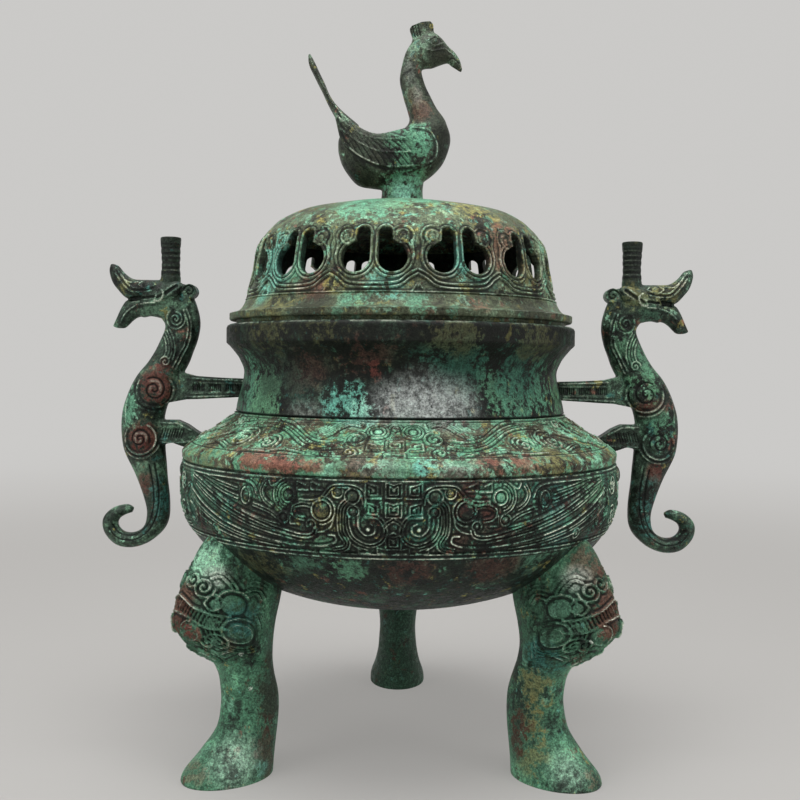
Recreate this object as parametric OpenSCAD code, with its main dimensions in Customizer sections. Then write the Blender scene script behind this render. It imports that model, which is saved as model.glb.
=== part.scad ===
// Bronze tripod censer: a bowl on three legs with two dragon handles,
// and a pierced domed lid that lifts off, crowned by a bird.
// The feet stand on z = 0, +Z is up and the front faces -Y.

/* [Bowl] */
// Height of the belly's widest level above the floor
belly_z = 115; // [110:1:120]
// Radius of the belly at its widest, without its relief
belly_r = 98.5; // [95:0.5:102]
// Depth of the round lower bowl under the belly's widest level
lower_depth = 52; // [49:1:55]
// Rise from the belly's widest level to the shoulder's edge
edge_rise = 19.7; // [18:0.1:22]
// Rise from the belly's widest level to the root of the neck
shoulder_rise = 35.8; // [34:0.2:39]
// Radius at the root of the neck
neck_root_r = 75; // [74:0.5:78]
// Radius at the narrowest part of the neck
neck_r = 71.5; // [70:0.5:73]
// Rise from the root of the neck to the rim
neck_rise = 38.7; // [37:0.1:42]
// Radius of the rim
rim_r = 79.4; // [78:0.2:82]
// Height of the band round the rim
rim_h = 8; // [7:0.5:10]
// Width of the rim's flat top and its chamfer together
rim_w = 8; // [7:0.25:9]
// Chamfer of the rim's outer edge
rim_chamfer = 1.4; // [0.6:0.1:2]
// Wall thickness of the bowl
wall = 4; // [3:0.25:5]
// Height of the relief on the belly
relief = 1.3; // [0.8:0.1:1.8]
// Depth of the ground between the main lines of the relief
relief_ground = 0.5; // [0.3:0.1:0.8]
// Width of the plumes on the belly
plume_w = 1.1; // [0.8:0.1:1.3]
// Side of the thunder pattern's squares on the belly
key_size = 5.7; // [5:0.1:5.8]
// Width of the lines of those squares
key_line = 1.2; // [0.8:0.1:1.4]
// Radius of the bosses of the two side masks on the belly
mask_boss_r = 5; // [4:0.25:6]

/* [Lid] */
// How far the lid's flange stays inside the rim's edge
flange_inset = 1.3; // [0.5:0.1:2]
// Thickness of the lid's flange
flange_t = 3; // [2:0.25:4]
// Height of the shadow gap between flange and rim
seat_gap = 1.9; // [1.2:0.1:2.5]
// Width of the ring that the lid sits on
seat_w = 3.6; // [2.5:0.1:4.5]
// Depth of the lid's spigot in the mouth
spigot_depth = 7.5; // [6:0.25:9]
// Radial clearance of the spigot in the mouth
spigot_clearance = 0.5; // [0.3:0.05:0.8]
// Wall thickness of the lid
lid_wall = 3; // [2.5:0.25:3.5]
// Radius of the dome at its foot
dome_r = 70.5; // [69:0.25:71]
// Rise of the dome's foot above the rim
dome_foot_rise = 12.8; // [12:0.2:15]
// Rise of the dome's crown above the rim
dome_rise = 56.5; // [54:0.5:60]
// Number of window pairs round the dome
window_pairs = 12; // [10:1:12]
// Turn of the first window pair from the front
window_turn = 20.5; // [0:0.5:30]
// Radius of a window's round lobe
window_r = 6; // [5:0.1:6.2]
// Radius of a window's narrow upper lobe
window_tip_r = 2.7; // [2:0.1:3]
// Height of a window's round lobe above the rim
window_rise = 25.5; // [24.5:0.25:27]
// Rise from a window's round lobe to its upper lobe
window_tip_rise = 9.8; // [9:0.2:10.4]
// Width of the bar between the two windows of a pair
mullion_w = 3.3; // [2.6:0.1:4]

/* [Legs] */
// How far the ankles stand inside the belly's widest radius
ankle_inset = 23.5; // [21:0.5:26]
// Height of the ankle, the slimmest part of a leg
ankle_z = 29; // [27:0.5:31]
// How far the knee lies below the belly's widest level
knee_drop = 49.5; // [47:0.5:52]
// Angle between a front leg and the front
front_leg_turn = 53.5; // [51:0.5:58]
// How much farther round the left leg is set than the right one
leg_uneven = 1; // [0:0.5:4]
// How much farther out the left foot stands than the right one
foot_uneven = 3.5; // [0:0.5:4]
// How far inside the belly's widest radius a leg is riveted
leg_joint_inset = 19.5; // [17:0.5:22]
// Radius of a knee mask's bosses
knee_boss_r = 4.4; // [3.8:0.1:4.8]

/* [Handles] */
// Distance from the belly to the dragon's back at the hip
handle_gap = 10; // [9:0.25:12]
// Thickness of the struts that carry a dragon
strut_t = 9; // [8:0.25:10]
// Depth of the sunk panels on the struts
strut_panel = 0.8; // [0.4:0.1:1.2]
// Radius of a dragon's bottle horn at its top
horn_r = 4.9; // [4.2:0.1:5.4]
// Height of a dragon's bottle horn
horn_h = 19; // [16:0.5:22]
// Height of the upper strut's middle above the root of the neck
strut_rise = 10; // [9:0.25:10.75]
// Depth of the lower strut's tenon below the root of the neck
tenon_drop = 13; // [12.5:0.25:13.5]
// Radius of the lower strut's tenon
tenon_r = 2.5; // [2:0.1:2.8]

/* [Finial] */
// Radius of the bird's post at its foot
post_r = 10.2; // [9.6:0.1:10.8]
// Thickness of the bird's crest
crest_t = 3; // [2:0.25:3.5]

/* [Rivets] */
// Radius of the legs' rivets
leg_rivet_r = 4; // [3:0.25:4.5]
// Length of a leg's rivet inside the leg
leg_rivet_grip = 14; // [10:0.5:16]
// Radius of the handles' rivets
handle_rivet_r = 2.6; // [2:0.1:2.8]
// Length of a handle's rivet inside the strut
handle_rivet_grip = 11; // [8:0.5:13]
// Radius of the finial's rivet
finial_rivet_r = 3.5; // [2.5:0.25:4]
// Length of the finial's rivet inside the post
finial_rivet_grip = 16; // [10:0.5:18]
// How far a rivet's head reaches past its shank
head_lip = 3; // [2:0.25:3.5]
// Height of a rivet's head
head_h = 3; // [2:0.25:4]
// Rise of the pads that the rivet heads sit on
pad_rise = 1.5; // [1:0.25:2]
// Radial clearance of rivets and tenons in their bores
bore_clearance = 0.05; // [0.03:0.01:0.1]

/* [Hidden] */
$fn = 48;

// Bronze tones of the castings
bowl_colour = "#41614f";
leg_colour = "#4d7a60";
handle_colour = "#3d5f57";
lid_colour = "#5f8b70";
bird_colour = "#37524a";
rivet_colour = "#6b5a3c";

// Levels and radii that several pieces share
neck_root_z = belly_z + shoulder_rise;
rim_z = neck_root_z + neck_rise;
waist_z = rim_z - 21.9;
mouth_r = rim_r - rim_w;
ankle_circle_r = belly_r - ankle_inset;
leg_joint_r = belly_r - leg_joint_inset;
crown_z = rim_z + dome_rise;
strut_z = neck_root_z + strut_rise;
tenon_z = neck_root_z - tenon_drop;
boolean_slack = 1;

// Smooth curve through hand-placed points of any dimension, with a number of steps to each span
function spline(p, i, t) =
    let (a = p[max(i - 1, 0)], b = p[i], c = p[i + 1], d = p[min(i + 2, len(p) - 1)])
    (2 * b + (c - a) * t + (2 * a - 5 * b + 4 * c - d) * t * t + (3 * b - 3 * c + d - a) * t * t * t) / 2;
function curve(p, steps) =
    concat([for (i = [0:len(p) - 2], s = [0:steps - 1]) spline(p, i, s / steps)], [p[len(p) - 1]]);

// A profile moved to its left by a distance, point by point
function shifted(p, distance) =
    [for (i = [0:len(p) - 1])
        let (along = p[min(i + 1, len(p) - 1)] - p[max(i - 1, 0)], out = [-along[1], along[0]] / norm(along))
        p[i] + out * distance];
function reversed(p) = [for (i = [len(p) - 1:-1:0]) p[i]];

// Outer profile of the bowl as [radius, height], from the middle of its bottom up to the rim
profile_steps = 3;
band_low_z = belly_z - 15;
band_high_z = belly_z + 13.5;
band_edge = 1.4;
function lower_r(z) = belly_r * sqrt(1 - pow((z - belly_z) / lower_depth, 2));
bottom_arc_steps = 14;
bottom_end = asin((band_low_z - band_edge - belly_z) / lower_depth);
bottom_arc = [for (i = [0:bottom_arc_steps])
    let (a = -90 + (bottom_end + 90) * i / bottom_arc_steps)
    [max(belly_r * cos(a), 0), belly_z + lower_depth * sin(a)]];
sunk = relief - relief_ground;
border_low_z = band_low_z + 1.6;
border_high_z = band_high_z - 1.3;
border_edge = 0.3;
belly_band = [[lower_r(band_low_z) + relief, band_low_z],
              [lower_r(border_low_z) + relief, border_low_z],
              [lower_r(border_low_z + border_edge) + sunk, border_low_z + border_edge],
              [lower_r(belly_z - 9) + sunk, belly_z - 9],
              [belly_r + sunk, belly_z],
              [belly_r + sunk, border_high_z - border_edge],
              [belly_r + relief - 0.1, border_high_z],
              [belly_r + relief - 0.3, band_high_z]];
// Section of the shell that the raised lines on the belly are cut from
drawing_top = [[lower_r(border_low_z) + relief, border_low_z],
               [lower_r(belly_z - 9) + relief, belly_z - 9],
               [belly_r + relief, belly_z],
               [belly_r + relief, border_high_z]];
drawing_depth = relief_ground + 0.6;
shoulder_foot = [belly_r - 0.6, belly_z + edge_rise];
neck_root = [neck_root_r, neck_root_z];
shoulder_span = neck_root - shoulder_foot;
shoulder = curve([[belly_r - 0.6, band_high_z + band_edge],
                  [belly_r, belly_z + (edge_rise + 13.5) / 2],
                  shoulder_foot,
                  shoulder_foot + [0.345 * shoulder_span[0], 0.36 * shoulder_span[1]],
                  shoulder_foot + [0.69 * shoulder_span[0], 0.645 * shoulder_span[1]],
                  neck_root], profile_steps);
neck = curve([neck_root,
              [neck_root_r - 0.8, neck_root_z + 4.7],
              [neck_r, waist_z],
              [neck_r + 1.8, rim_z - rim_h - 7.8],
              [rim_r - 3.9, rim_z - rim_h - 4.5],
              [rim_r, rim_z - rim_h]], profile_steps);
outer_profile = concat(bottom_arc, belly_band, shoulder, neck,
                       [[rim_r, rim_z - rim_chamfer], [rim_r - rim_chamfer, rim_z]]);

// Inner profile, one wall inside the outer one, with a straight throat for the spigot
throat_depth = spigot_depth + 1.5;
shoulder_lean = wall * [shoulder_span[1], -shoulder_span[0]] / norm(shoulder_span);
inner_arc = [for (i = [0:bottom_arc_steps])
    let (a = -90 + 90 * i / bottom_arc_steps)
    [(belly_r - wall) * max(cos(a), 0), belly_z + (lower_depth - wall) * sin(a)]];
inner_line = curve([[belly_r - wall, belly_z],
                    [belly_r - wall, belly_z + edge_rise / 2],
                    shoulder_foot - 1.15 * shoulder_lean,
                    shoulder_foot + shoulder_span / 2 - shoulder_lean,
                    neck_root - shoulder_lean,
                    [neck_r - wall, waist_z]], profile_steps);
inner_profile = concat(inner_arc, inner_line, [[mouth_r, rim_z - throat_depth], [mouth_r, rim_z]]);

// Radius of the bowl's neck at a height, read off its profile
function neck_r_at(z) = lookup(z, [for (p = neck) [p[1], p[0]]]);

// Outer profile of the lid as [radius, height above the rim], from the flange up to the crown
flange_r = rim_r - flange_inset;
flange_top = seat_gap + flange_t;
cove_run = flange_r - dome_r;
cove_rise = dome_foot_rise - flange_top;
dome_height = dome_rise - dome_foot_rise;
dome_steps = 2;
dome_line = curve([[flange_r, flange_top],
                   [dome_r + 0.47 * cove_run, flange_top + 0.17 * cove_rise],
                   [dome_r + 0.17 * cove_run, flange_top + 0.52 * cove_rise],
                   [dome_r, dome_foot_rise],
                   [dome_r - 2.5, dome_foot_rise + 0.245 * dome_height],
                   [dome_r - 4.5, dome_foot_rise + 0.485 * dome_height],
                   [dome_r - 6.7, dome_foot_rise + 0.59 * dome_height],
                   [dome_r - 10.8, dome_foot_rise + 0.705 * dome_height],
                   [dome_r - 15.3, dome_foot_rise + 0.79 * dome_height],
                   [dome_r - 24.5, dome_foot_rise + 0.885 * dome_height],
                   [dome_r - 42.5, dome_foot_rise + 0.967 * dome_height],
                   [post_r + 1, dome_rise]], dome_steps);
spigot_r = mouth_r - spigot_clearance;

// Outline of a window beside its bar: a round lobe, a notch where the scroll curls in, and a narrow upper lobe
window_lobe_steps = 12;
window_tip_steps = 6;
window_outline = concat(
    [for (i = [0:window_lobe_steps])
        let (a = 180 + 240 * i / window_lobe_steps)
        window_r * [1 + cos(a), sin(a)]],
    [[2 * window_tip_r + 0.5, (window_r + window_tip_rise) / 2 - 1]],
    [for (i = [0:window_tip_steps])
        let (a = 180 * i / window_tip_steps)
        [0, window_tip_rise] + window_tip_r * [1 + cos(a), sin(a)]]);

// Main lines of the belly's drawing in a quarter of its round: plumes, round bosses and thunder squares.
// Places are degrees from the front or the back, and heights over the belly's widest level.
plumes = [
    [[17.6, -7.1], [20.2, -8.2], [24.2, -7.1], [31.6, -4], [40.6, 0.6], [48, 5.4], [53, 8.2], [58, 10.6]],
    [[27, -3.9], [33, -1.4], [41, 2.8], [48, 7.2], [54, 10.2]],
    [[21.5, -9.6], [32, -6.4], [41, -2.2], [49, 2.6], [56, 7.4]],
    [[12.9, -9], [14.8, -10.7], [18, -11.3], [24, -11.2], [34.4, -8.8], [44.2, -4.6], [52.4, 0.6], [59, 5.6]],
    [[36, -12.2], [45, -9.8], [53, -5.6], [60, -0.4]]];
belly_bosses = [[15.8, 2.6, 3.9], [23.8, 7.6, 2.8], [8.9, 8.2, 2.9], [12.2, 9.6, 2], [8.7, 2.6, 2], [25, -1, 2.2],
                [35.6, 6, 2.4]];
middle_keys = [10.6, 3.4, -8.8];
side_keys = [[4.4, 10.4], [4.4, 3.2]];
function across(turn) = belly_r * sin(turn);

// A solid whose sections are ellipses that span two rails.
// Each station is [rail x, rail z, other rail x, other rail z, half width in y, middle y],
// and the first rail lies to the left of the way that the stations run.
module loft(stations, steps, sides) {
    line = curve(stations, steps);
    rings = len(line);
    points = [for (s = line, k = [0:sides - 1])
        let (turn = 360 * k / sides, reach = cos(turn))
        [(s[0] + s[2] + (s[0] - s[2]) * reach) / 2,
         s[5] + s[4] * sin(turn),
         (s[1] + s[3] + (s[1] - s[3]) * reach) / 2]];
    function at(j, k) = j * sides + k % sides;
    skin = [for (j = [0:rings - 2], k = [0:sides - 1], half = [0, 1])
        half == 0 ? [at(j, k), at(j + 1, k + 1), at(j + 1, k)]
                  : [at(j, k), at(j, k + 1), at(j + 1, k + 1)]];
    start = [[for (k = [sides - 1:-1:0]) at(0, k)]];
    end = [[for (k = [0:sides - 1]) at(rings - 1, k)]];
    polyhedron(points, concat(skin, start, end), convexity = 6);
}

// A rivet along +Z: a shank that ends at z = 0 under a domed head
module rivet(r, length) {
    head_r = r + head_lip;
    dome_sphere_r = (head_r * head_r + head_h * head_h) / (2 * head_h);
    translate([0, 0, -length])
        cylinder(r = r, h = length + head_h / 2);
    intersection() {
        translate([0, 0, head_h - dome_sphere_r])
            sphere(r = dome_sphere_r);
        cylinder(r = head_r, h = head_h);
    }
}

// The front legs stand to both sides of the front, the back leg opposite it
leg_turns = [-90 - front_leg_turn - leg_uneven / 2, -90 + front_leg_turn - leg_uneven / 2, 90];
foot_shifts = [foot_uneven / 2, -foot_uneven / 2, 0];

// Stations of a leg along its radius: outer rail, inner rail, half width, middle.
// Heights are set from the floor, the ankle and the knee. The last number of a row below
// is its share of the foot's shift.
knee_z = belly_z - knee_drop;
calf = (knee_z - ankle_z) / 36.5;
function shin(rise) = ankle_z + rise * calf;
leg_rows = [
    [12, 45 + knee_z, -16, 30 + knee_z, 9, 0],
    [25, 31 + knee_z, -14, 17 + knee_z, 11.8, 0],
    [31.5, 19.5 + knee_z, -12, 7.5 + knee_z, 13.5, 0],
    [34.8, 9.5 + knee_z, -9, knee_z - 2, 15, 0],
    [35.5, knee_z, -7.8, shin(27), 15, 0],
    [30, shin(28), -8.2, shin(21), 14, 0.3],
    [20, shin(21), -9.4, shin(16), 12.2, 0.65],
    [14.8, shin(15), -11, shin(11), 10.8, 0.9],
    [13.1, shin(7), -12.6, shin(5), 10, 1],
    [13.2, ankle_z, -12.9, ankle_z - 1, 9.8, 1],
    [15.3, 0.69 * ankle_z, -12.3, 0.69 * ankle_z, 10.4, 1],
    [22, 0.4 * ankle_z, -11.2, 0.38 * ankle_z, 12.4, 1],
    [28.5, 5, -10.3, 4.5, 14.4, 1],
    [30.5, 1.5, -10, 1.5, 14.8, 1],
    [30, 0, -9.6, 0, 14.5, 1]];
function leg_stations(shift) = [for (s = leg_rows)
    let (out = ankle_circle_r + shift * s[5])
    [out + s[0], s[1], out + s[2], s[3], s[4], 0]];
leg_steps = 3;
leg_sides = 20;
knee_reach = max([for (s = curve(leg_stations(0), leg_steps)) s[0]]);

// The vessel's axis sits off the origin so that the origin is the middle of the footprint
axis_y = (belly_r + relief - knee_reach) / 2;

// Rivet joint of a leg: its point on the bowl and the lean of the wall there
leg_joint_z = belly_z - lower_depth * sqrt(1 - pow(leg_joint_r / belly_r, 2));
leg_joint_lean = -atan2(leg_joint_r / pow(belly_r, 2), (belly_z - leg_joint_z) / pow(lower_depth, 2));
leg_bore_end = 0.5;

// Rivet joint of a handle: the flat pad inside the neck
handle_pad_r = handle_rivet_r + head_lip;
handle_seat_r = neck_r_at(strut_z) - wall - pad_rise;

// Rivet joint of the finial: the flat seat under the crown
crown_seat_z = crown_z - lid_wall - pad_rise;

// Stations of a dragon's body from the tip of its tail to its brow.
// Distances are out from the belly's handle line and up from the root of the neck.
dragon_stations = [
    [24.4, -45.9, 25.2, -48.4, 1.6],
    [27.8, -44.4, 27.6, -49.2, 3],
    [34.2, -46, 30.6, -50.9, 3.8],
    [38.8, -51, 31.6, -53.2, 4.2],
    [38, -58, 30.6, -55.6, 4.6],
    [32.4, -63.5, 28, -57.2, 4.8],
    [24, -64.4, 24, -57.2, 5.1],
    [15.5, -60.8, 20.4, -55, 5.5],
    [9.2, -54, 18.7, -51, 5.9],
    [7.6, -45, 19, -44, 6.4],
    [9, -30, 23.7, -30.5, 7],
    [10, -17, 29.5, -17.5, 7.8],
    [10, -2, 30, -2, 8],
    [4, 11.5, 25, 12.5, 8.5],
    [-2, 24, 16.5, 24, 7.5],
    [-6, 37, 10.5, 36.5, 6.6],
    [-4.5, 47.5, 11.5, 41, 6.8],
    [-0.5, 55.5, 13.5, 42, 7.2],
    [5, 58.5, 17, 42.5, 7.4],
    [11.5, 59.5, 20.5, 42, 7],
    [17, 59.5, 23, 44, 6]];
upper_jaw_stations = [
    [12, 59, 14, 49, 6.6],
    [17, 59.5, 20, 50.5, 6],
    [21.5, 59.5, 25, 50.5, 5.2],
    [25.5, 60, 28.5, 51, 4.6],
    [29, 62.5, 32, 54.5, 4],
    [31.5, 65.5, 34.5, 58, 3.4],
    [33.5, 66.5, 36, 63, 2.4],
    [35, 66.8, 35.6, 66, 1.2]];
lower_jaw_stations = [
    [15, 53, 13, 42.5, 6.2],
    [20, 52.5, 18, 42.5, 5.6],
    [24, 51, 22.5, 42, 4.9],
    [28, 50, 25, 40.5, 4.3],
    [30, 47.5, 27, 38.5, 3.8],
    [32.5, 42.5, 29, 37, 3.1],
    [34.5, 38, 32.5, 37, 1.6]];
ear_stations = [
    [13.8, 50, 13.8, 50.8, 0.8],
    [10.4, 49.6, 11.4, 54.2, 2],
    [6.2, 50.2, 7.6, 57.4, 2.6],
    [2.6, 52.2, 3.4, 58.4, 2.4],
    [0.6, 54.8, 0.8, 57.4, 1.2]];
// The curl at the nape, behind the ears
nape_curl = [-1.4, 54.2];
nape_curl_r = 3.5;
nape_curl_t = 8.5;
ear_y = 6.8;
dragon_steps = 3;
dragon_sides = 14;
horn_out = 7.8;
horn_foot = 56;
horn_top = 60 + horn_h;
shoulder_boss = [13.6, 9];
shoulder_boss_r = 7.4;
hip_boss = [20.2, -13.6];
hip_boss_r = 6.4;
boss_rise = 1.4;
dragon_eye = [18, 56.5];
dragon_eye_r = 2.2;
// Outlines of the struts, which run on into the bowl and are cut there
upper_strut = [[6, 18], [-4, 15.5], [-12, 15], [-36, 13.8], [-36, 6.2], [-9.5, 5], [-0.5, 4.5], [10, 2.5]];
lower_strut = [[14, -5], [4, -5], [-0.5, -7], [-5, -10.2], [-14, -15], [-14, -22], [2.5, -16.8], [6, -15.5],
               [16, -17.5]];
upper_panel = [[-3.5, 12.8], [-12, 12.4], [-21.5, 12], [-21.5, 8], [-9.5, 7.6], [-0.5, 7.2]];
lower_panel = [[8, -7.5], [4, -7.6], [-0.5, -9.8], [-3, -12], [2.5, -14], [6, -13.2], [8, -13.2]];

// Stations of the bird from the end of its body over the breast and neck to the tip of its beak.
// Distances are from the middle of its post and up from the crown.
bird_stations = [
    [-29.5, 29, -29.5, 23, 3],
    [-28, 32.5, -28, 18, 6.5],
    [-25, 34, -25, 13, 9.5],
    [-20.5, 33.2, -20.5, 8.5, 11.4],
    [-14, 31.2, -14, 7, 12.2],
    [-6, 31.6, -7, 6.5, 12.4],
    [-1, 33.6, 1, 7.5, 12.4],
    [1.5, 35.6, 11, 11, 12.2],
    [2.6, 37.4, 18.5, 18.5, 11.4],
    [2.8, 39.2, 22, 29, 10],
    [2.3, 41, 20, 37, 8.6],
    [1.4, 44, 16, 43, 7.3],
    [0, 48.5, 13, 48.5, 6.2],
    [-1.5, 54.5, 10.5, 53.5, 5.4],
    [-1.5, 59.5, 9, 58, 5],
    [-0.5, 65, 8.6, 61, 5],
    [1.5, 70.5, 10.2, 61.7, 5.3],
    [5, 75.5, 13, 62, 5.7],
    [9, 78, 16, 63.2, 5.8],
    [13, 78.5, 18.8, 64.2, 5.3],
    [17, 76, 20.6, 64.4, 4.4],
    [20.5, 72.3, 22, 63.2, 3.3],
    [23.5, 69.5, 23.8, 62, 2.4],
    [25.8, 66, 25.4, 61, 1.6],
    [27, 62, 26.5, 60.5, 0.7]];
tail_stations = [
    [-22, 26, -20, 36, 6],
    [-31.5, 39.5, -31, 45.5, 5.6],
    [-38, 52.5, -36, 55, 5],
    [-43, 62, -40, 63.5, 3.8],
    [-43.8, 67.6, -42.6, 68.2, 1.6]];
wing_stations = [
    [17, 22, 15.6, 28.5, 0.8, 9.6],
    [14, 16.6, 11.8, 32.6, 2, 10.6],
    [6, 13.4, 5, 33.4, 2.4, 11.9],
    [-3.5, 11.6, -3.5, 31, 2.4, 12.6],
    [-11, 11.6, -11.5, 29.8, 2.4, 12.4],
    [-18, 15, -18, 32, 2.4, 11.4],
    [-24, 20.6, -24, 36.6, 2.2, 9.8],
    [-28.4, 28, -28.6, 41, 1.8, 8],
    [-31.4, 40, -31.8, 45.4, 0.9, 6.2]];
crest_outline = [[3, 72], [4, 75.5], [2.5, 79.5], [3.5, 81.2], [8, 83.1], [12, 83.5], [13.5, 82], [14, 74]];
bird_steps = 2;
bird_sides = 16;
bird_eye = [14, 73];
bird_eye_r = 1.7;
bird_eye_y = 4.3;
post_line = curve([[post_r, 0], [post_r - 0.5, 3], [post_r - 0.6, 6], [post_r - 0.3, 9], [post_r, 13]], 3);

// Flat stations take the middle plane
function flat(stations) = [for (s = stations) concat(s, [0])];

// The vessel's axis, and the places set out round it
module on_axis() {
    translate([0, axis_y, 0])
        children();
}

module on_leg_joint() {
    translate([leg_joint_r, 0, leg_joint_z])
        rotate([0, leg_joint_lean, 0])
            children();
}

// A handle's rivet runs along its local Z into the strut, from the pad's face at z = 0
module on_handle_joint() {
    translate([handle_seat_r, 0, strut_z])
        rotate([0, -90, 0])
            children();
}

module both_sides() {
    children();
    mirror([1, 0, 0])
        children();
}

// The bowl's outer form without its hollow, which the legs and struts seat on
module bowl_solid() {
    rotate_extrude()
        polygon(concat(outer_profile, [[0, rim_z]]));
}

// The three bosses of a mask on the belly's side: brow, eye and snout
module belly_mask() {
    brow_z = belly_z + 8.5;
    eye_z = belly_z + 1;
    snout_z = belly_z - 6;
    sink = mask_boss_r - 2.2;
    for (place = [[brow_z, 6.5], [brow_z, -6.5], [eye_z, 0], [snout_z, 5], [snout_z, -5]])
        translate([belly_r - sink, place[1], place[0]])
            sphere(r = mask_boss_r);
}

// A square of the thunder pattern with its core
module thunder_key() {
    difference() {
        square(key_size, center = true);
        square(key_size - 2 * key_line, center = true);
    }
    square(1.4 * key_line, center = true);
}

// A quarter of the belly's drawing in front view, to the right of the middle
module quarter_drawing() {
    for (line = plumes)
        polygon(concat([for (p = line) [across(p[0]), p[1] + plume_w / 2]],
                       reversed([for (p = line) [across(p[0]), p[1] - plume_w / 2]])));
    for (b = belly_bosses)
        translate([across(b[0]), b[1]])
            circle(r = b[2]);
    for (k = side_keys)
        translate([across(k[0]), k[1]])
            thunder_key();
}

// The raised lines on the belly's front and back
module belly_drawing() {
    intersection() {
        rotate_extrude()
            polygon(concat(drawing_top, reversed([for (p = drawing_top) p - [drawing_depth, 0]])));
        for (turn = [0, 180])
            rotate([0, 0, turn])
                translate([0, 0, belly_z])
                    rotate([90, 0, 0])
                        linear_extrude(2 * belly_r) {
                            quarter_drawing();
                            mirror([1, 0])
                                quarter_drawing();
                            for (rise = middle_keys)
                                translate([0, rise])
                                    thunder_key();
                        }
    }
}

module bowl() {
    leg_pad_r = leg_rivet_r + head_lip + 1;
    color(bowl_colour)
    on_axis()
    difference() {
        union() {
            rotate_extrude()
                polygon(concat(outer_profile, reversed(inner_profile)));
            belly_drawing();
            both_sides()
                difference() {
                    belly_mask();
                    translate([0, 0, belly_z - lower_depth])
                        cylinder(r = belly_r - wall / 2, h = rim_z);
                }
            for (turn = leg_turns)
                rotate([0, 0, turn])
                    on_leg_joint()
                        translate([0, 0, wall / 2])
                            cylinder(r = leg_pad_r, h = wall / 2 + pad_rise);
            both_sides()
                on_handle_joint()
                    translate([0, 0, -wall / 2 - pad_rise])
                        cylinder(r = handle_pad_r + 1, h = wall / 2 + pad_rise);
        }
        for (turn = leg_turns)
            rotate([0, 0, turn])
                on_leg_joint()
                    translate([0, 0, -2 * wall])
                        cylinder(r = leg_rivet_r + bore_clearance, h = 4 * wall);
        both_sides()
            on_handle_joint()
                translate([0, 0, -3 * wall])
                    cylinder(r = handle_rivet_r + bore_clearance, h = 3 * wall + boolean_slack);
        both_sides()
            translate([neck_root_r, 0, tenon_z])
                rotate([0, 90, 0])
                    cylinder(r = tenon_r + bore_clearance, h = belly_r + relief - neck_root_r + boolean_slack);
    }
}

// Bosses of the mask on a leg's knee: nostrils, snout, eyes, horn volutes and jaw scrolls
module knee_mask() {
    small_r = knee_boss_r - 0.5;
    scroll_r = knee_boss_r + 3;
    for (side = [-1, 1]) {
        translate([ankle_circle_r + 30.2, side * 6.2, knee_z - 0.3])
            sphere(r = knee_boss_r);
        translate([ankle_circle_r + 20.9, side * 5, knee_z - 11.3])
            sphere(r = small_r);
        translate([ankle_circle_r + 16.5, side * 11.3, knee_z + 9])
            sphere(r = knee_boss_r);
        translate([ankle_circle_r + 26, side * 7.3, knee_z + 14])
            sphere(r = small_r);
        translate([ankle_circle_r + 14, side * 8.7, knee_z - 2.5])
            sphere(r = scroll_r);
    }
}

module leg(turn, shift) {
    color(leg_colour)
    on_axis()
    rotate([0, 0, turn])
    difference() {
        union() {
            loft(leg_stations(shift), leg_steps, leg_sides);
            knee_mask();
        }
        bowl_solid();
        on_leg_joint()
            translate([0, 0, -leg_rivet_grip - leg_bore_end])
                cylinder(r = leg_rivet_r + bore_clearance, h = leg_rivet_grip + leg_bore_end + wall);
    }
}

module leg_front_left() {
    leg(leg_turns[0], foot_shifts[0]);
}

module leg_front_right() {
    leg(leg_turns[1], foot_shifts[1]);
}

module leg_back() {
    leg(leg_turns[2], foot_shifts[2]);
}

module leg_rivets() {
    color(rivet_colour)
    on_axis()
    for (turn = leg_turns)
        rotate([0, 0, turn])
            on_leg_joint()
                translate([0, 0, wall + pad_rise])
                    rivet(leg_rivet_r, leg_rivet_grip + wall + pad_rise);
}

// A raised round boss on both flanks of a dragon
module flank_boss(place, r, half_width) {
    dome_r = (r * r + boss_rise * boss_rise) / (2 * boss_rise);
    for (side = [-1, 1])
        translate([place[0], side * (half_width + boss_rise - dome_r), place[1]])
            intersection() {
                sphere(r = dome_r);
                rotate([-side * 90, 0, 0])
                    translate([0, 0, dome_r - 2.5 * boss_rise])
                        cylinder(r = 1.5 * r, h = 3 * boss_rise);
            }
}

// Bottle horn: a waisted stem with a flat top
module bottle_horn() {
    translate([horn_out, 0, 0])
        rotate_extrude()
            polygon(concat([[0, horn_foot], [horn_r, horn_foot]],
                           curve([[horn_r - 0.1, 60], [horn_r - 0.5, 60 + 0.28 * horn_h],
                                  [horn_r - 0.3, 60 + 0.75 * horn_h], [horn_r, horn_top]], profile_steps),
                           [[0, horn_top]]));
}

module strut(outline, panel) {
    rotate([90, 0, 0])
        translate([0, 0, -strut_t / 2])
            difference() {
                linear_extrude(strut_t)
                    polygon(outline);
                translate([0, 0, -boolean_slack])
                    linear_extrude(boolean_slack + strut_panel)
                        polygon(panel);
                translate([0, 0, strut_t - strut_panel])
                    linear_extrude(boolean_slack + strut_panel)
                        polygon(panel);
            }
}

// The dragon that faces +X, on its handle line
module dragon() {
    loft(flat(dragon_stations), dragon_steps, dragon_sides);
    loft(flat(upper_jaw_stations), dragon_steps, dragon_sides);
    loft(flat(lower_jaw_stations), dragon_steps, dragon_sides);
    for (side = [-1, 1])
        translate([0, side * ear_y, 0])
            loft(flat(ear_stations), dragon_steps, 10);
    translate([nape_curl[0], nape_curl_t / 2, nape_curl[1]])
        rotate([90, 0, 0])
            cylinder(r = nape_curl_r, h = nape_curl_t);
    bottle_horn();
    flank_boss(shoulder_boss, shoulder_boss_r, 7.6);
    flank_boss(hip_boss, hip_boss_r, 7.4);
    for (side = [-1, 1])
        translate([dragon_eye[0], side * 4.6, dragon_eye[1]])
            sphere(r = dragon_eye_r);
    strut(upper_strut, upper_panel);
    strut(lower_strut, lower_panel);
}

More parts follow.
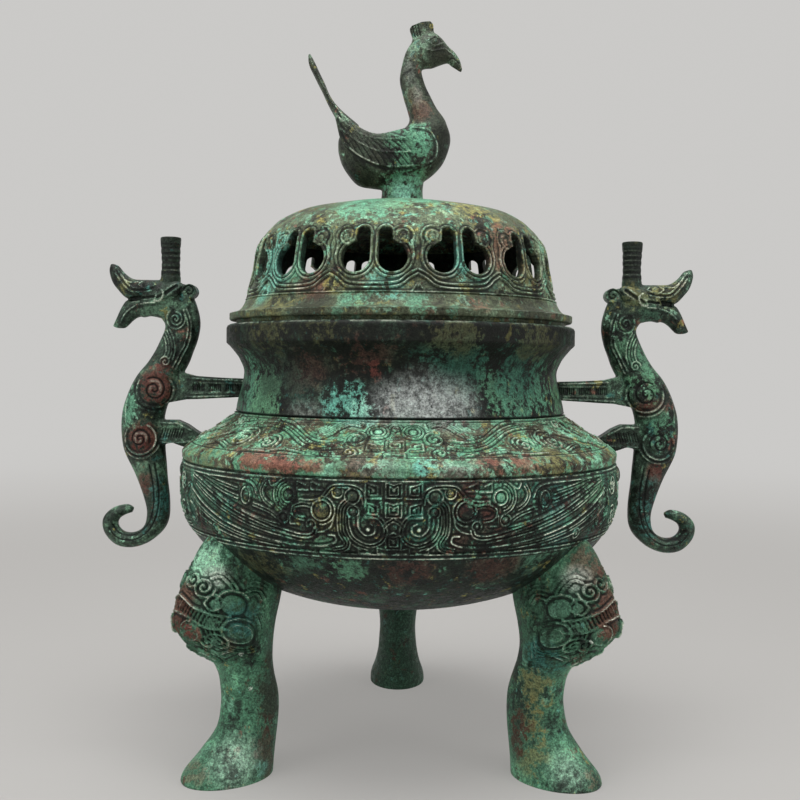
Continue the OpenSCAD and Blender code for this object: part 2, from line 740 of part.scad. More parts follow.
module handle() {
    tenon_end = shoulder_foot[0] - wall - 8;
    difference() {
        translate([belly_r + handle_gap - 10, 0, neck_root_z])
            dragon();
        bowl_solid();
        on_handle_joint()
            translate([0, 0, -handle_rivet_grip - leg_bore_end - wall - pad_rise])
                cylinder(r = handle_rivet_r + bore_clearance, h = handle_rivet_grip + leg_bore_end + wall);
    }
    translate([tenon_end, 0, tenon_z])
        rotate([0, 90, 0])
            cylinder(r = tenon_r, h = belly_r + handle_gap - 10 - tenon_end + 3);
}

module handle_left() {
    color(handle_colour)
    on_axis()
    mirror([1, 0, 0])
        handle();
}

module handle_right() {
    color(handle_colour)
    on_axis()
        handle();
}

module handle_rivets() {
    color(rivet_colour)
    on_axis()
    both_sides()
        on_handle_joint()
            rivet(handle_rivet_r, handle_rivet_grip + wall + pad_rise);
}

// Half of a window pair, cut along +X
module window() {
    rotate([90, 0, 90])
        linear_extrude(rim_r)
            polygon([for (p = window_outline) p + [mullion_w / 2, rim_z + window_rise]]);
}

module lid() {
    inner_line = shifted([for (p = dome_line) if (p[1] >= dome_foot_rise) p], lid_wall);
    inner_crown = dome_rise - lid_wall;
    section = concat(
        [for (p = dome_line) [p[0], rim_z + p[1]]],
        [[0, crown_z], [0, rim_z + inner_crown]],
        reversed([for (p = inner_line) [p[0], rim_z + min(p[1], inner_crown)]]),
        [[spigot_r - lid_wall, rim_z + seat_gap],
         [spigot_r - lid_wall, rim_z - spigot_depth],
         [spigot_r, rim_z - spigot_depth],
         [spigot_r, rim_z],
         [mouth_r + seat_w, rim_z],
         [mouth_r + seat_w, rim_z + seat_gap],
         [flange_r, rim_z + seat_gap]]);
    color(lid_colour)
    on_axis()
    difference() {
        union() {
            rotate_extrude()
                polygon(section);
            translate([0, 0, crown_seat_z])
                cylinder(r = finial_rivet_r + head_lip + 1, h = pad_rise + lid_wall / 2);
        }
        for (pair = [0:window_pairs - 1])
            rotate([0, 0, -90 + window_turn + pair * 360 / window_pairs]) {
                window();
                mirror([0, 1, 0])
                    window();
            }
        translate([0, 0, crown_seat_z - boolean_slack])
            cylinder(r = finial_rivet_r + bore_clearance, h = lid_wall + pad_rise + 2 * boolean_slack);
    }
}

module bird() {
    loft(flat(bird_stations), bird_steps, bird_sides);
    loft(flat(tail_stations), bird_steps, bird_sides);
    loft(wing_stations, bird_steps, 10);
    mirror([0, 1, 0])
        loft(wing_stations, bird_steps, 10);
    rotate([90, 0, 0])
        translate([0, 0, -crest_t / 2])
            linear_extrude(crest_t)
                polygon(crest_outline);
    for (side = [-1, 1])
        translate([bird_eye[0], side * bird_eye_y, bird_eye[1]])
            sphere(r = bird_eye_r);
    rotate_extrude()
        polygon(concat([[0, 0]], post_line, [[0, post_line[len(post_line) - 1][1]]]));
}

module bird_finial() {
    color(bird_colour)
    on_axis()
    difference() {
        translate([0, 0, crown_z])
            bird();
        translate([0, 0, crown_z - boolean_slack])
            cylinder(r = finial_rivet_r + bore_clearance, h = finial_rivet_grip + leg_bore_end + boolean_slack);
    }
}

module finial_rivet() {
    color(rivet_colour)
    on_axis()
        translate([0, 0, crown_seat_z])
            mirror([0, 0, 1])
                rivet(finial_rivet_r, finial_rivet_grip + lid_wall + pad_rise);
}

bowl();
leg_front_left();
leg_front_right();
leg_back();
leg_rivets();
handle_left();
handle_right();
handle_rivets();
lid();
bird_finial();
finial_rivet();
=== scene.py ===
# Looks of the bronze tripod censer: every casting is rebuilt with its relief and its patina.
# Lengths are in mm until a mesh is made, and the vessel's axis is x = 0, y = 0 until then.
import math

import bpy
import numpy as np
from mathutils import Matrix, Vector


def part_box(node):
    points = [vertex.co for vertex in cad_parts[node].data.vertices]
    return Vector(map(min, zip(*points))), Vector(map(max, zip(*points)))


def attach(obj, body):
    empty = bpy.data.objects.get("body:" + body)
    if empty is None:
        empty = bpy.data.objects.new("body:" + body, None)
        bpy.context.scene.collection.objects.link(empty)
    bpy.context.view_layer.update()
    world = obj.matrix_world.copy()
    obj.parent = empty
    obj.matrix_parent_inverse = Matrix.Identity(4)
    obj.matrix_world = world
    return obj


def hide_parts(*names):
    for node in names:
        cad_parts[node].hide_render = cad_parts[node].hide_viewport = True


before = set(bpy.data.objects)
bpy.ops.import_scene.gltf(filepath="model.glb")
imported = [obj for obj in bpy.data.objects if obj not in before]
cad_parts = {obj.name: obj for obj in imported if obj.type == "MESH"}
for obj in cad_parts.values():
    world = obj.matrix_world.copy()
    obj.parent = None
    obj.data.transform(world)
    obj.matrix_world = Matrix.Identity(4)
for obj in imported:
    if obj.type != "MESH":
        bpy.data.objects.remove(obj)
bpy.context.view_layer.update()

MM = 0.001
lid_low, lid_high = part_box("lid")
AXIS_Y = (lid_low[1] + lid_high[1]) / 2 / MM

# Levels and radii of the vessel
BELLY_Z = 115.0
BELLY_R = 98.5
LOWER_DEPTH = 52.0
BAND_LOW_Z = 98.6
BAND_HIGH_Z = 129.2
SHOULDER_LOW_Z = 136.6
NECK_ROOT_Z = 150.8
NECK_ROOT_R = 75.0
RIM_Z = 189.5
RIM_R = 79.4
MOUTH_R = 71.4
WAIST_Z = RIM_Z - 21.9
WAIST_R = 71.5
WALL = 4.0
POLE_R = 0.02

# Levels and radii of the lid
SPIGOT_R = 70.9
SPIGOT_DEPTH = 7.5
SEAT_R = MOUTH_R + 3.6
FLANGE_R = 78.1
FLANGE_LOW_Z = RIM_Z + 1.9
FLANGE_HIGH_Z = RIM_Z + 4.9
DOME_R = 70.5
DOME_FOOT_Z = RIM_Z + 12.8
CROWN_Z = 246.0
CROWN_R = 11.2
CROWN_PAD_R = 7.5
CROWN_PAD = 4.5
LID_WALL = 3.0

# Legs, each with its turn round the axis in degrees
KNEE_Z = 65.5
ANKLE_Z = 29.0
ANKLE_CIRCLE_R = 75.0
KNEE_REACH = 110.7
LEG_LEFT = -144.0
LEG_RIGHT = -37.0
LEG_BACK = 90.0
FOOT_SHIFT = 1.75

# Wear and painted light go from 0 in a groove, painted dark for patina and painted shade, to 1 on a ridge,
# painted pale for rubbed metal and painted highlights
SUNK = 0.1
PLAIN = 0.5
RUBBED_AND_LIT_EDGE = 0.8


def curve(points, steps):
    """Smooth curve through given points, with a number of steps to each span."""
    p = np.asarray(points, float)
    last = len(p) - 1
    i = np.repeat(np.arange(last), steps)
    t = np.tile(np.arange(steps) / steps, last)[:, None]
    a = p[np.maximum(i - 1, 0)]
    b = p[i]
    c = p[i + 1]
    d = p[np.minimum(i + 2, last)]
    line = (2 * b + (c - a) * t + (2 * a - 5 * b + 4 * c - d) * t ** 2 + (3 * b - 3 * c + d - a) * t ** 3) / 2
    return np.vstack([line, p[-1:]])


def resampled(line, pitch):
    """The same line with points at an even pitch."""
    run = np.concatenate([[0], np.cumsum(np.linalg.norm(np.diff(line, axis=0), axis=1))])
    count = max(int(round(run[-1] / pitch)), 1) + 1
    at = np.linspace(0, run[-1], count)
    return np.stack([np.interp(at, run, line[:, k]) for k in range(line.shape[1])], axis=1)


def smooth_step(low, high, x):
    """0 below low, 1 above high, and smooth between them."""
    t = np.clip((x - low) / (high - low), 0, 1)
    return t * t * (3 - 2 * t)


class Canvas:
    """A flat field of heights in mm. Places are given in its own units, with the mm of each unit."""

    def __init__(self, low, high, unit, cell=0.2):
        self.low = np.asarray(low, float)
        self.unit = np.asarray(unit, float)
        self.cell = cell
        size = np.ceil((np.asarray(high, float) - self.low) * self.unit / cell).astype(int) + 2
        self.height = np.zeros(size)

    def to_mm(self, places):
        """Places as mm from the canvas's low corner."""
        return (np.atleast_2d(np.asarray(places, float)) - self.low) * self.unit

    def window(self, low, high):
        """Slices of the cells between two corners in mm, and the cells' places."""
        first = np.clip(np.floor(low / self.cell).astype(int), 0, self.height.shape)
        end = np.clip(np.ceil(high / self.cell).astype(int) + 1, 0, self.height.shape)
        u = (np.arange(first[0], end[0]) * self.cell)[:, None]
        v = (np.arange(first[1], end[1]) * self.cell)[None, :]
        return (slice(first[0], end[0]), slice(first[1], end[1])), u, v

    def ridge_mm(self, path, width, rise):
        """A rounded ridge along a path in mm, or a groove where the rise is negative."""
        half = width / 2
        for a, b in zip(path[:-1], path[1:]):
            where, u, v = self.window(np.minimum(a, b) - half, np.maximum(a, b) + half)
            span = b - a
            length = max(float(span @ span), 1e-9)
            t = np.clip(((u - a[0]) * span[0] + (v - a[1]) * span[1]) / length, 0, 1)
            away = ((u - a[0] - t * span[0]) ** 2 + (v - a[1] - t * span[1]) ** 2) / half ** 2
            form = rise * np.clip(1 - away, 0, 1) ** 0.7
            patch = self.height[where]
            if rise > 0:
                np.maximum(patch, form, out=patch)
            else:
                np.minimum(patch, form, out=patch)

    def line(self, places, width=0.8, rise=0.8, sides=(0,), steps=8):
        """A smooth ridge through given points, with copies to its left at the distances in sides."""
        path = curve(self.to_mm(places), steps)
        along = np.gradient(path, axis=0)
        left = np.stack([-along[:, 1], along[:, 0]], axis=1)
        left /= np.maximum(np.linalg.norm(left, axis=1), 1e-9)[:, None]
        for side in sides:
            self.ridge_mm(path + left * side, width, rise)

    def straight(self, places, width=0.8, rise=0.8):
        """A ridge of straight spans from place to place."""
        self.ridge_mm(self.to_mm(places), width, rise)

    def arc(self, place, radius, start=0, end=360, width=0.8, rise=0.8, flat=1.0, steps=40):
        """Part of a ring, with its radius in mm and its angles in degrees."""
        a = np.radians(np.linspace(start, end, steps))
        path = self.to_mm(place) + radius * np.stack([np.cos(a) * flat, np.sin(a)], axis=1)
        self.ridge_mm(path, width, rise)

    def spiral(self, place, radius, turns=2.0, start=0, hand=1, width=0.8, rise=0.8):
        """A spiral that winds in from its radius to its middle."""
        t = np.linspace(0, 1, int(32 * turns))
        a = np.radians(start) + hand * 2 * math.pi * turns * t
        reach = radius * (1 - 0.93 * t)
        path = self.to_mm(place) + np.stack([reach * np.cos(a), reach * np.sin(a)], axis=1)
        self.ridge_mm(path, width, rise)

    def key(self, place, size, turns=2, pitch=1.25, width=0.7, rise=0.75, hand=1):
        """A squared spiral, the thunder pattern, in a box of two sides in mm."""
        half = np.asarray(size, float) / 2
        corners = np.array([[-1, -1], [1, -1], [1, 1], [-1, 1]], float) * np.array([hand, 1])
        path = []
        for k in range(4 * turns):
            shrink = pitch * ((k + 1) // 4)
            reach = np.maximum(half - shrink, 0.15)
            path.append(corners[k % 4] * reach)
        self.ridge_mm(self.to_mm(place) + np.array(path), width, rise)

    def boss(self, place, radius, rise, flat=1.0):
        """A round dome."""
        centre = self.to_mm(place)[0]
        reach = np.array([radius * flat, radius])
        where, u, v = self.window(centre - reach, centre + reach)
        away = ((u - centre[0]) / flat) ** 2 + (v - centre[1]) ** 2
        form = rise * np.sqrt(np.clip(1 - away / radius ** 2, 0, 1))
        np.maximum(self.height[where], form, out=self.height[where])

    def echo(self, pitch, rise, low, high):
        """Fine lines on the free ground between two levels, which follow the drawing at a regular pitch."""
        away = np.where(self.height > 0.3, 0.0, 100.0)
        for k in range(int(6 * pitch / self.cell)):
            for step in ((1, 0), (0, 1), (1, 1), (1, -1)):
                for way in (1, -1):
                    moved = np.roll(away, (way * step[0], way * step[1]), (0, 1))
                    away = np.minimum(away, moved + self.cell * math.hypot(*step))
        form = rise * smooth_step(-0.1, 0.9, np.cos(2 * math.pi * away / pitch)) * (away > 0.6 * pitch)
        level = self.low[1] + np.arange(self.height.shape[1]) * self.cell / self.unit[1]
        form = form * ((level > low) & (level < high))[None, :]
        self.height = np.maximum(self.height, form)

    def contrast(self, reach):
        """A canvas of how far each place stands above the mean height within a reach in mm."""
        other = Canvas(self.low, self.low, self.unit, self.cell)
        half = int(reach / self.cell)
        other.height = self.height - evened(evened(self.height, half, 0), half, 1)
        return other

    def at(self, u, v):
        """Heights at places in the canvas's own units."""
        x = np.clip((u - self.low[0]) * self.unit[0] / self.cell, 0, self.height.shape[0] - 1.001)
        y = np.clip((v - self.low[1]) * self.unit[1] / self.cell, 0, self.height.shape[1] - 1.001)
        i = x.astype(int)
        j = y.astype(int)
        s = x - i
        t = y - j
        h = self.height
        near = h[i, j] * (1 - s) + h[i + 1, j] * s
        far = h[i, j + 1] * (1 - s) + h[i + 1, j + 1] * s
        return near * (1 - t) + far * t


def evened(field, half, axis):
    """The mean of a field over half a span to both sides along an axis."""
    pad = [(0, 0), (0, 0)]
    pad[axis] = (half + 1, half)
    total = np.cumsum(np.pad(field, pad, mode="edge"), axis=axis)
    span = 2 * half + 1
    count = field.shape[axis]
    return (np.take(total, range(span, span + count), axis) - np.take(total, range(count), axis)) / span


def edge_wear_and_light(edges):
    """Wear and painted light by how far relief stands above its surroundings. Hollows darken, for patina and
    painted shade, faster than ridges are painted pale, for rubbing and painted highlights.
    """
    return PLAIN + np.where(edges < 0, 1.5, 0.9) * edges


def unevenness(points, size, seed):
    """Slow waves over the points, between about -1 and 1, as a casting's surface has."""
    draw = np.random.default_rng(seed)
    total = np.zeros(len(points))
    for k in range(10):
        direction = draw.normal(size=3)
        direction /= np.linalg.norm(direction)
        pace = 2 * math.pi / (size * draw.uniform(0.6, 1.6))
        total += np.sin(points @ direction * pace + draw.uniform(0, 7))
    return total / 4


def axis_distance(points):
    """Distances of points from the axis."""
    return np.hypot(points[:, 0], points[:, 1])


def spun(points, turn):
    """Points turned round the axis by an angle in degrees."""
    a = math.radians(turn)
    spin = np.array([[math.cos(a), -math.sin(a), 0], [math.sin(a), math.cos(a), 0], [0, 0, 1]])
    return np.asarray(points) @ spin.T


def vertex_normals(points, faces):
    """Normals of a mesh of quads."""
    p = points[faces]
    across = np.cross(p[:, 2] - p[:, 0], p[:, 3] - p[:, 1])
    total = np.zeros_like(points)
    for k in range(4):
        np.add.at(total, faces[:, k], across)
    return total / np.maximum(np.linalg.norm(total, axis=1), 1e-12)[:, None]


def cells(index):
    """The quads between the rows and columns of a grid of point numbers."""
    return np.stack([index[:-1, :-1], index[:-1, 1:], index[1:, 1:], index[1:, :-1]], axis=-1)


def shell(outer, inner, keep):
    """Points and quads of the closed shell between two grids where cells are kept, and the points in use."""
    count = outer.shape[0] * outer.shape[1]
    quads = cells(np.arange(count).reshape(outer.shape[:2]))[keep]
    edges = np.concatenate([quads[:, [k, (k + 1) % 4]] for k in range(4)])
    code = edges[:, 0] * count + edges[:, 1]
    a, b = edges[~np.isin(code, edges[:, 1] * count + edges[:, 0])].T
    walls = np.stack([b, a, a + count, b + count], axis=1)
    faces = np.concatenate([quads, quads[:, ::-1] + count, walls])
    points = np.concatenate([outer.reshape(-1, 3), inner.reshape(-1, 3)])
    used, faces = np.unique(faces, return_inverse=True)
    return points[used], faces.reshape(-1, 4), used


def backed(outer, inner):
    """Points, quads and the two end faces of the closed body between a fine grid and a few rows behind it."""
    cols = outer.shape[1]
    front = np.arange(len(outer) * cols).reshape(-1, cols)
    back = front.size + np.arange(len(inner) * cols).reshape(-1, cols)
    loop = np.concatenate([front, back[::-1], front[:1]])
    points = np.concatenate([outer.reshape(-1, 3), inner.reshape(-1, 3)])
    return points, cells(loop).reshape(-1, 4), (loop[:-1, 0], loop[-2::-1, -1])


def looped(outline, pitch):
    """A closed outline with points at an even pitch."""
    return resampled(np.vstack([outline, outline[:1]]), pitch)[:-1]


def closed_lathe(outline, turns):
    """Points and quads of a ring, from the back round, whose section is an outline of [radius, height]."""
    a = np.radians(90 + np.linspace(0, 360, turns, endpoint=False))
    r = outline[:, :1]
    z = outline[:, 1:]
    points = np.stack([r * np.cos(a), r * np.sin(a), z + 0 * a], axis=-1).reshape(-1, 3)
    index = np.arange(len(points)).reshape(-1, turns)
    return points, cells(np.pad(index, (0, 1), mode="wrap")).reshape(-1, 4)


def raw_mesh(name, points, quads, ends, crease):
    """A mesh from points in mm, quads and end faces of any size, placed on the vessel's axis."""
    mesh = bpy.data.meshes.new(name)
    place = (points + np.array([0, AXIS_Y, 0])) * MM
    mesh.vertices.add(len(place))
    mesh.vertices.foreach_set("co", place.ravel())
    corners = np.concatenate([quads.ravel(), *ends]).astype(np.int32)
    sizes = [4] * len(quads) + [len(end) for end in ends]
    mesh.loops.add(len(corners))
    mesh.loops.foreach_set("vertex_index", corners)
    mesh.polygons.add(len(sizes))
    mesh.polygons.foreach_set("loop_start", (np.cumsum(sizes) - sizes).astype(np.int32))
    mesh.update(calc_edges=True)
    mesh.validate()
    mesh.shade_smooth()
    mesh.set_sharp_from_angle(angle=math.radians(crease))
    return mesh


def placed(name, data):
    """A new object in the scene."""
    thing = bpy.data.objects.new(name, data)
    bpy.context.scene.collection.objects.link(thing)
    return thing


def add_piece(name, points, quads, wear_and_light, material, body, nodes, ends=(), crease=72):
    """A piece of the object, with the wear and painted light of each point. Bends of more than the crease
    stay sharp.
    """
    mesh = raw_mesh(name, points, quads, ends, crease)
    layer = mesh.attributes.new("wear_and_light", "FLOAT", "POINT")
    layer.data.foreach_set("value", np.broadcast_to(np.clip(wear_and_light, 0, 1), len(points)).astype(np.float32))
    mesh.materials.append(material)
    piece = placed(name, mesh)
    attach(piece, body)
    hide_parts(*nodes)


# Materials

class Nodes:
    """Short makers for the nodes of one material."""

    def __init__(self, tree):
        self.tree = tree

    def put(self, socket, value):
        """Give an input its value, or link it to another node's output."""
        if isinstance(value, bpy.types.NodeSocket):
            self.tree.links.new(value, socket)
        else:
            socket.default_value = value

    def new(self, kind, inputs=(), **settings):
        """A node with its settings, and with values or the outputs of other nodes at its inputs."""
        node = self.tree.nodes.new("ShaderNode" + kind)
        for name, setting in settings.items():
            setattr(node, name, setting)
        for key, value in dict(inputs).items():
            self.put(node.inputs[key], value)
        return node

    def math(self, operation, a, b):
        return self.new("Math", {0: a, 1: b}, operation=operation).outputs[0]

    def times(self, a, b):
        return self.math("MULTIPLY", a, b)

    def total(self, *parts):
        """The sum of some values, each with its share."""
        terms = [self.times(value, share) for value, share in parts]
        result = terms[0]
        for term in terms[1:]:
            result = self.math("ADD", result, term)
        return result

    def vector(self, operation, a, b):
        node = self.new("VectorMath", {0: a, 3 if operation == "SCALE" else 1: b}, operation=operation)
        return node.outputs[1 if operation == "LENGTH" else 0]

    def length(self, a):
        return self.vector("LENGTH", a, (0, 0, 0))

    def ramp(self, value, low, high, start=0.0, end=1.0):
        """A smooth step from start to end while a value goes from low to high."""
        node = self.new("MapRange", {"Value": value, "From Min": low, "From Max": high, "To Min": start,
                                     "To Max": end}, interpolation_type="SMOOTHSTEP")
        return node.outputs["Result"]

    def mix(self, factor, a, b):
        """A colour between two others."""
        node = self.new("Mix", {"Factor": factor}, data_type="RGBA")
        colours = [s for s in node.inputs if s.type == "RGBA"]
        self.put(colours[0], a)
        self.put(colours[1], b)
        return [s for s in node.outputs if s.type == "RGBA"][0]

    def noise(self, place, size, detail, rough, offset=0.0):
        """Cloudy values round 0.5, with their largest forms about the given size in mm."""
        moved = self.vector("ADD", place, (offset, 0.7 * offset, -offset))
        node = self.new("TexNoise", {"Vector": moved, "Scale": 1 / (size * MM), "Detail": detail,
                                     "Roughness": rough})
        return node.outputs["Fac"]

    def nearness(self, place, spot, most):
        """The most at the middle of a spot, and 0 at one and a half times its radius."""
        centre, radius, _, _, squash = spot
        middle = (-centre[0] * MM, -(centre[1] + AXIS_Y) * MM, -centre[2] * MM)
        away = self.vector("MULTIPLY", self.vector("ADD", place, middle), (1, 1, squash))
        reach = radius * MM
        return self.ramp(self.length(away), 1.5 * reach, 0.1 * reach, 0.0, most)


def blank_material(name):
    """A material without nodes, and the makers for its nodes."""
    material = bpy.data.materials.new(name)
    material.use_nodes = True
    material.node_tree.nodes.clear()
    return material, Nodes(material.node_tree)


def rgb(red, green, blue):
    """A colour given as 0 to 255 in the display's scale, as linear values."""
    def linear(c):
        c = c / 255
        return c / 12.92 if c <= 0.04045 else ((c + 0.055) / 1.055) ** 2.4
    return (linear(red), linear(green), linear(blue), 1.0)


BLACK = rgb(17, 21, 18)
# dark patina, and painted shade under the bird's wing
SOOT_AND_SHADE = rgb(28, 31, 25)
UMBER = rgb(48, 49, 40)
PINE = rgb(46, 64, 53)
PEAT = rgb(66, 68, 44)
LIVER = rgb(72, 47, 41)
RUST = rgb(94, 49, 43)
CHESTNUT = rgb(94, 68, 57)
CUPRITE = rgb(124, 82, 69)
SPRUCE = rgb(45, 88, 74)
LAGOON = rgb(56, 108, 100)
FOREST = rgb(66, 102, 82)
MOSS = rgb(84, 130, 102)
LEAF = rgb(98, 146, 112)
MALACHITE = rgb(100, 158, 128)
TURQUOISE = rgb(104, 170, 152)
AQUA = rgb(136, 190, 170)
KHAKI = rgb(112, 110, 70)
STRAW = rgb(150, 144, 84)
# The next three colours are painted sheens and reflections of light off the metal.
SHEEN_GREY = rgb(134, 140, 132)
SHEEN_MINT = rgb(184, 214, 192)
REFLECTION_GREY = rgb(168, 173, 170)
PALE = rgb(206, 214, 202)
MINT = rgb(150, 198, 168)
# The pale colours of ridges, for rubbed metal and painted highlights.
VERDIGRIS_AND_HIGHLIGHT = rgb(144, 190, 168)
RUBBED_AND_HIGHLIGHT = rgb(218, 226, 206)
FLOOR_TONE = rgb(189, 187, 184)
BACKDROP_TONE = rgb(204, 203, 201)


def patina(name, tones, crusts, patches=(), bands=(), painted_sheens=(), rub_and_highlight=0.4, shine=0.42, flow=1.0):
    """Old bronze in a dark, a middle and a light tone, with crusts, bands, patches and painted sheens over
    them.

    A crust is a colour, a size in mm and a share. A band is a low and a high level, a colour and a strength.
    A patch is a place in mm from the axis, a radius in mm, a colour, a strength and how much it is squashed
    in height. A painted sheen is the same with a soft edge: a painted highlight of light off the metal. The
    rub is how far ridges are painted pale, for rubbed metal and painted highlights, and the flow is how far
    the colours are drawn out in height, as where water ran down.
    """
    material, n = blank_material(name)
    place = n.new("TexCoord").outputs["Object"]
    height = n.new("SeparateXYZ", {0: place}).outputs["Z"]
    wear_and_light = n.new("Attribute", attribute_name="wear_and_light").outputs["Fac"]
    grain = n.noise(place, 0.8, 3.0, 0.7)
    fine = n.noise(place, 2.6, 6.0, 0.75, 0.2)
    drawn = n.vector("MULTIPLY", place, (1, 1, 1 / flow))
    cloud = n.noise(drawn, 12, 8.0, 0.7, 0.4)
    wide = n.noise(drawn, 38, 5.0, 0.6, 0.6)
    mottle = n.ramp(n.total((cloud, 0.5), (fine, 0.5)), 0.38, 0.62)
    # the metal's own tones
    tone = n.total((cloud, 0.55), (fine, 0.25), (wide, 0.2))
    colour = n.mix(n.ramp(tone, 0.42, 0.5), tones[0], tones[1])
    colour = n.mix(n.ramp(tone, 0.51, 0.58), colour, tones[2])
    for k, (paint, size, share) in enumerate(crusts):
        spread = n.total((n.noise(drawn, size, 7.0, 0.7, 0.9 + 0.31 * k), 1.0), (fine, 0.25))
        edge = 0.84 - 0.4 * share
        colour = n.mix(n.times(n.ramp(spread, edge, edge + 0.06), 0.85), colour, paint)
    for low, high, paint, strength in bands:
        level = n.total((height, 1.0), (cloud, 10 * MM))
        cover = n.ramp(level, (low + 3) * MM, (low + 7) * MM, 0.0, strength)
        cover = n.times(cover, n.ramp(level, (high + 7) * MM, (high + 3) * MM))
        colour = n.mix(cover, colour, paint)
    for spot in patches:
        near = n.nearness(place, spot, 0.65 * spot[3])
        cover = n.times(n.ramp(n.math("ADD", mottle, near), 0.64, 0.94), n.ramp(near, 0.0, 0.25))
        colour = n.mix(n.times(cover, spot[3]), colour, spot[2])
    # dark grooves, for patina in the hollows and painted shade, and pale ridges, for rubbed metal and painted
    # highlights
    colour = n.mix(n.times(n.ramp(wear_and_light, 0.47, 0.2), 0.85), colour, BLACK)
    rubbed_and_highlight = n.times(n.ramp(wear_and_light, 0.64, 0.92), n.ramp(mottle, 0.1, 0.75))
    rubbed_and_highlight = n.times(rubbed_and_highlight, n.ramp(wide, 0.38, 0.56, 0.75 * rub_and_highlight, rub_and_highlight))
    colour = n.mix(rubbed_and_highlight, colour, n.mix(n.ramp(cloud, 0.44, 0.58), VERDIGRIS_AND_HIGHLIGHT, RUBBED_AND_HIGHLIGHT))
    # painted sheens: soft pale highlights of light off the metal, kept out of the grooves
    for spot in painted_sheens:
        cover = n.times(n.nearness(place, spot, spot[3]), n.ramp(mottle, 0.05, 0.7, 0.3, 1.0))
        colour = n.mix(n.times(cover, n.ramp(wear_and_light, 0.2, 0.47)), colour, spot[2])
    speck = n.times(n.ramp(grain, 0.3, 0.7, 0.5, 1.6), n.ramp(fine, 0.32, 0.68, 0.62, 1.4))
    colour = n.vector("SCALE", colour, speck)
    roughness = n.ramp(fine, 0.35, 0.65, shine - 0.1, shine + 0.25)
    old_metal(n, colour, roughness, n.total((grain, 0.5), (fine, 1.0)))
    return material


def old_metal(n, colour, roughness, relief):
    """The surface of a patina, which is mostly mineral, with a fine bump."""
    bump = n.new("Bump", {"Strength": 0.7, "Distance": 0.7 * MM, "Height": relief})
    shader = n.new("BsdfPrincipled", {"Base Color": colour,
                                      "Metallic": 0.15,
                                      "Specular IOR Level": 0.25,
                                      "Roughness": roughness,
                                      "Normal": bump.outputs["Normal"]})
    n.new("OutputMaterial", {"Surface": shader.outputs["BSDF"]})


# Bowl

def lower_r(z):
    """Radius of the round lower bowl at a height."""
    return BELLY_R * np.sqrt(np.clip(1 - ((z - BELLY_Z) / LOWER_DEPTH) ** 2, 0, 1))


def lower_arc(inset, end, count):
    """Line of the round lower bowl from its pole up to an angle in degrees, set in from its outer face."""
    a = np.radians(np.linspace(-90, end, count))
    r = np.maximum((BELLY_R - inset) * np.cos(a), POLE_R)
    return np.stack([r, BELLY_Z + (LOWER_DEPTH - inset) * np.sin(a)], axis=1)


def shoulder_line():
    """Line from the top of the belly's band over the shoulder to the neck, as [radius, height]."""
    foot = np.array([97.9, 134.7])
    root = np.array([NECK_ROOT_R, NECK_ROOT_Z])
    span = root - foot
    points = [[98.4, BAND_HIGH_Z],
              [98.6, 131.6],
              foot,
              foot + span * [0.345, 0.36],
              foot + span * [0.69, 0.645],
              root]
    return curve(points, 12)


def neck_line():
    """Line of the neck up to the underside of the rim."""
    points = [[NECK_ROOT_R, NECK_ROOT_Z],
              [74.2, NECK_ROOT_Z + 4.7],
              [WAIST_R, WAIST_Z],
              [73.3, RIM_Z - 15.8],
              [75.5, RIM_Z - 12.5],
              [RIM_R, RIM_Z - 8]]
    return curve(points, 12)


def inner_bowl_line():
    """Line of the bowl's inside from its pole up to the mouth."""
    belly_r = BELLY_R - WALL
    high = curve([[belly_r, BELLY_Z], [belly_r, 124.8], [95.2, 131], [84.2, 139.5], [72.7, 147.5],
                  [WAIST_R - WALL, WAIST_Z]], 8)
    throat = [[MOUTH_R, RIM_Z - 9], [MOUTH_R, RIM_Z - 0.4]]
    return np.vstack([lower_arc(WALL, 0, 40), high[1:], throat])


def bowl_core(material):
    """The bowl itself. It steps back under the two bands of relief, which are pieces of their own."""
    step = 1.6
    turns = 360
    band_r = lower_r(BAND_LOW_Z)
    under = [[band_r - 0.05, BAND_LOW_Z - 0.1],
             [band_r - step, BAND_LOW_Z + 0.3],
             [BELLY_R - step, BELLY_Z],
             [BELLY_R - step, BAND_HIGH_Z]]
    behind = shoulder_line()[6:-3] - np.array([0.55, 0.85]) * step
    groove = [[74.1, NECK_ROOT_Z - 0.75], [74.2, NECK_ROOT_Z - 0.1], [75.1, NECK_ROOT_Z + 0.35]]
    rim = [[RIM_R, RIM_Z - 7.6],
           [RIM_R, RIM_Z - 2.3],
           [RIM_R, RIM_Z - 1.5],
           [RIM_R - 0.5, RIM_Z - 0.5],
           [RIM_R - 1.5, RIM_Z],
           [MOUTH_R + 0.4, RIM_Z]]
    inside = resampled(inner_bowl_line()[::-1], 2.0)
    outline = np.vstack([resampled(lower_arc(0, -18.4, 60), 1.4), under, behind, groove,
                         resampled(neck_line(), 1.0)[1:], rim, inside])
    points, faces = closed_lathe(outline, turns)
    outward = points * np.array([1, 1, 0])
    outward /= np.maximum(np.linalg.norm(outward, axis=1), 1e-9)[:, None]
    free = (points[:, 2] < RIM_Z - 9) & (points[:, 2] > 60)
    points = points + outward * (free * (0.22 * unevenness(points, 38, 3) - 0.1))[:, None]
    wear_and_light = np.full(len(points), PLAIN)
    # The bowl's whole inside is painted dark, as painted shade.
    wear_and_light[turns * (len(outline) - len(inside) + 2):] = SUNK
    # The groove at the neck's root is painted dark: patina in the groove and painted shade.
    wear_and_light[np.abs(points[:, 2] - NECK_ROOT_Z) < 0.5] = SUNK
    # The rim's top edge is painted pale: rubbed metal and a painted highlight.
    wear_and_light[(points[:, 2] > RIM_Z - 1) & (axis_distance(points) > RIM_R - 2)] = RUBBED_AND_LIT_EDGE
    add_piece("bowl_core", points, faces, wear_and_light, material, "vessel", ["bowl"])


BELLY_ARC = 1.72


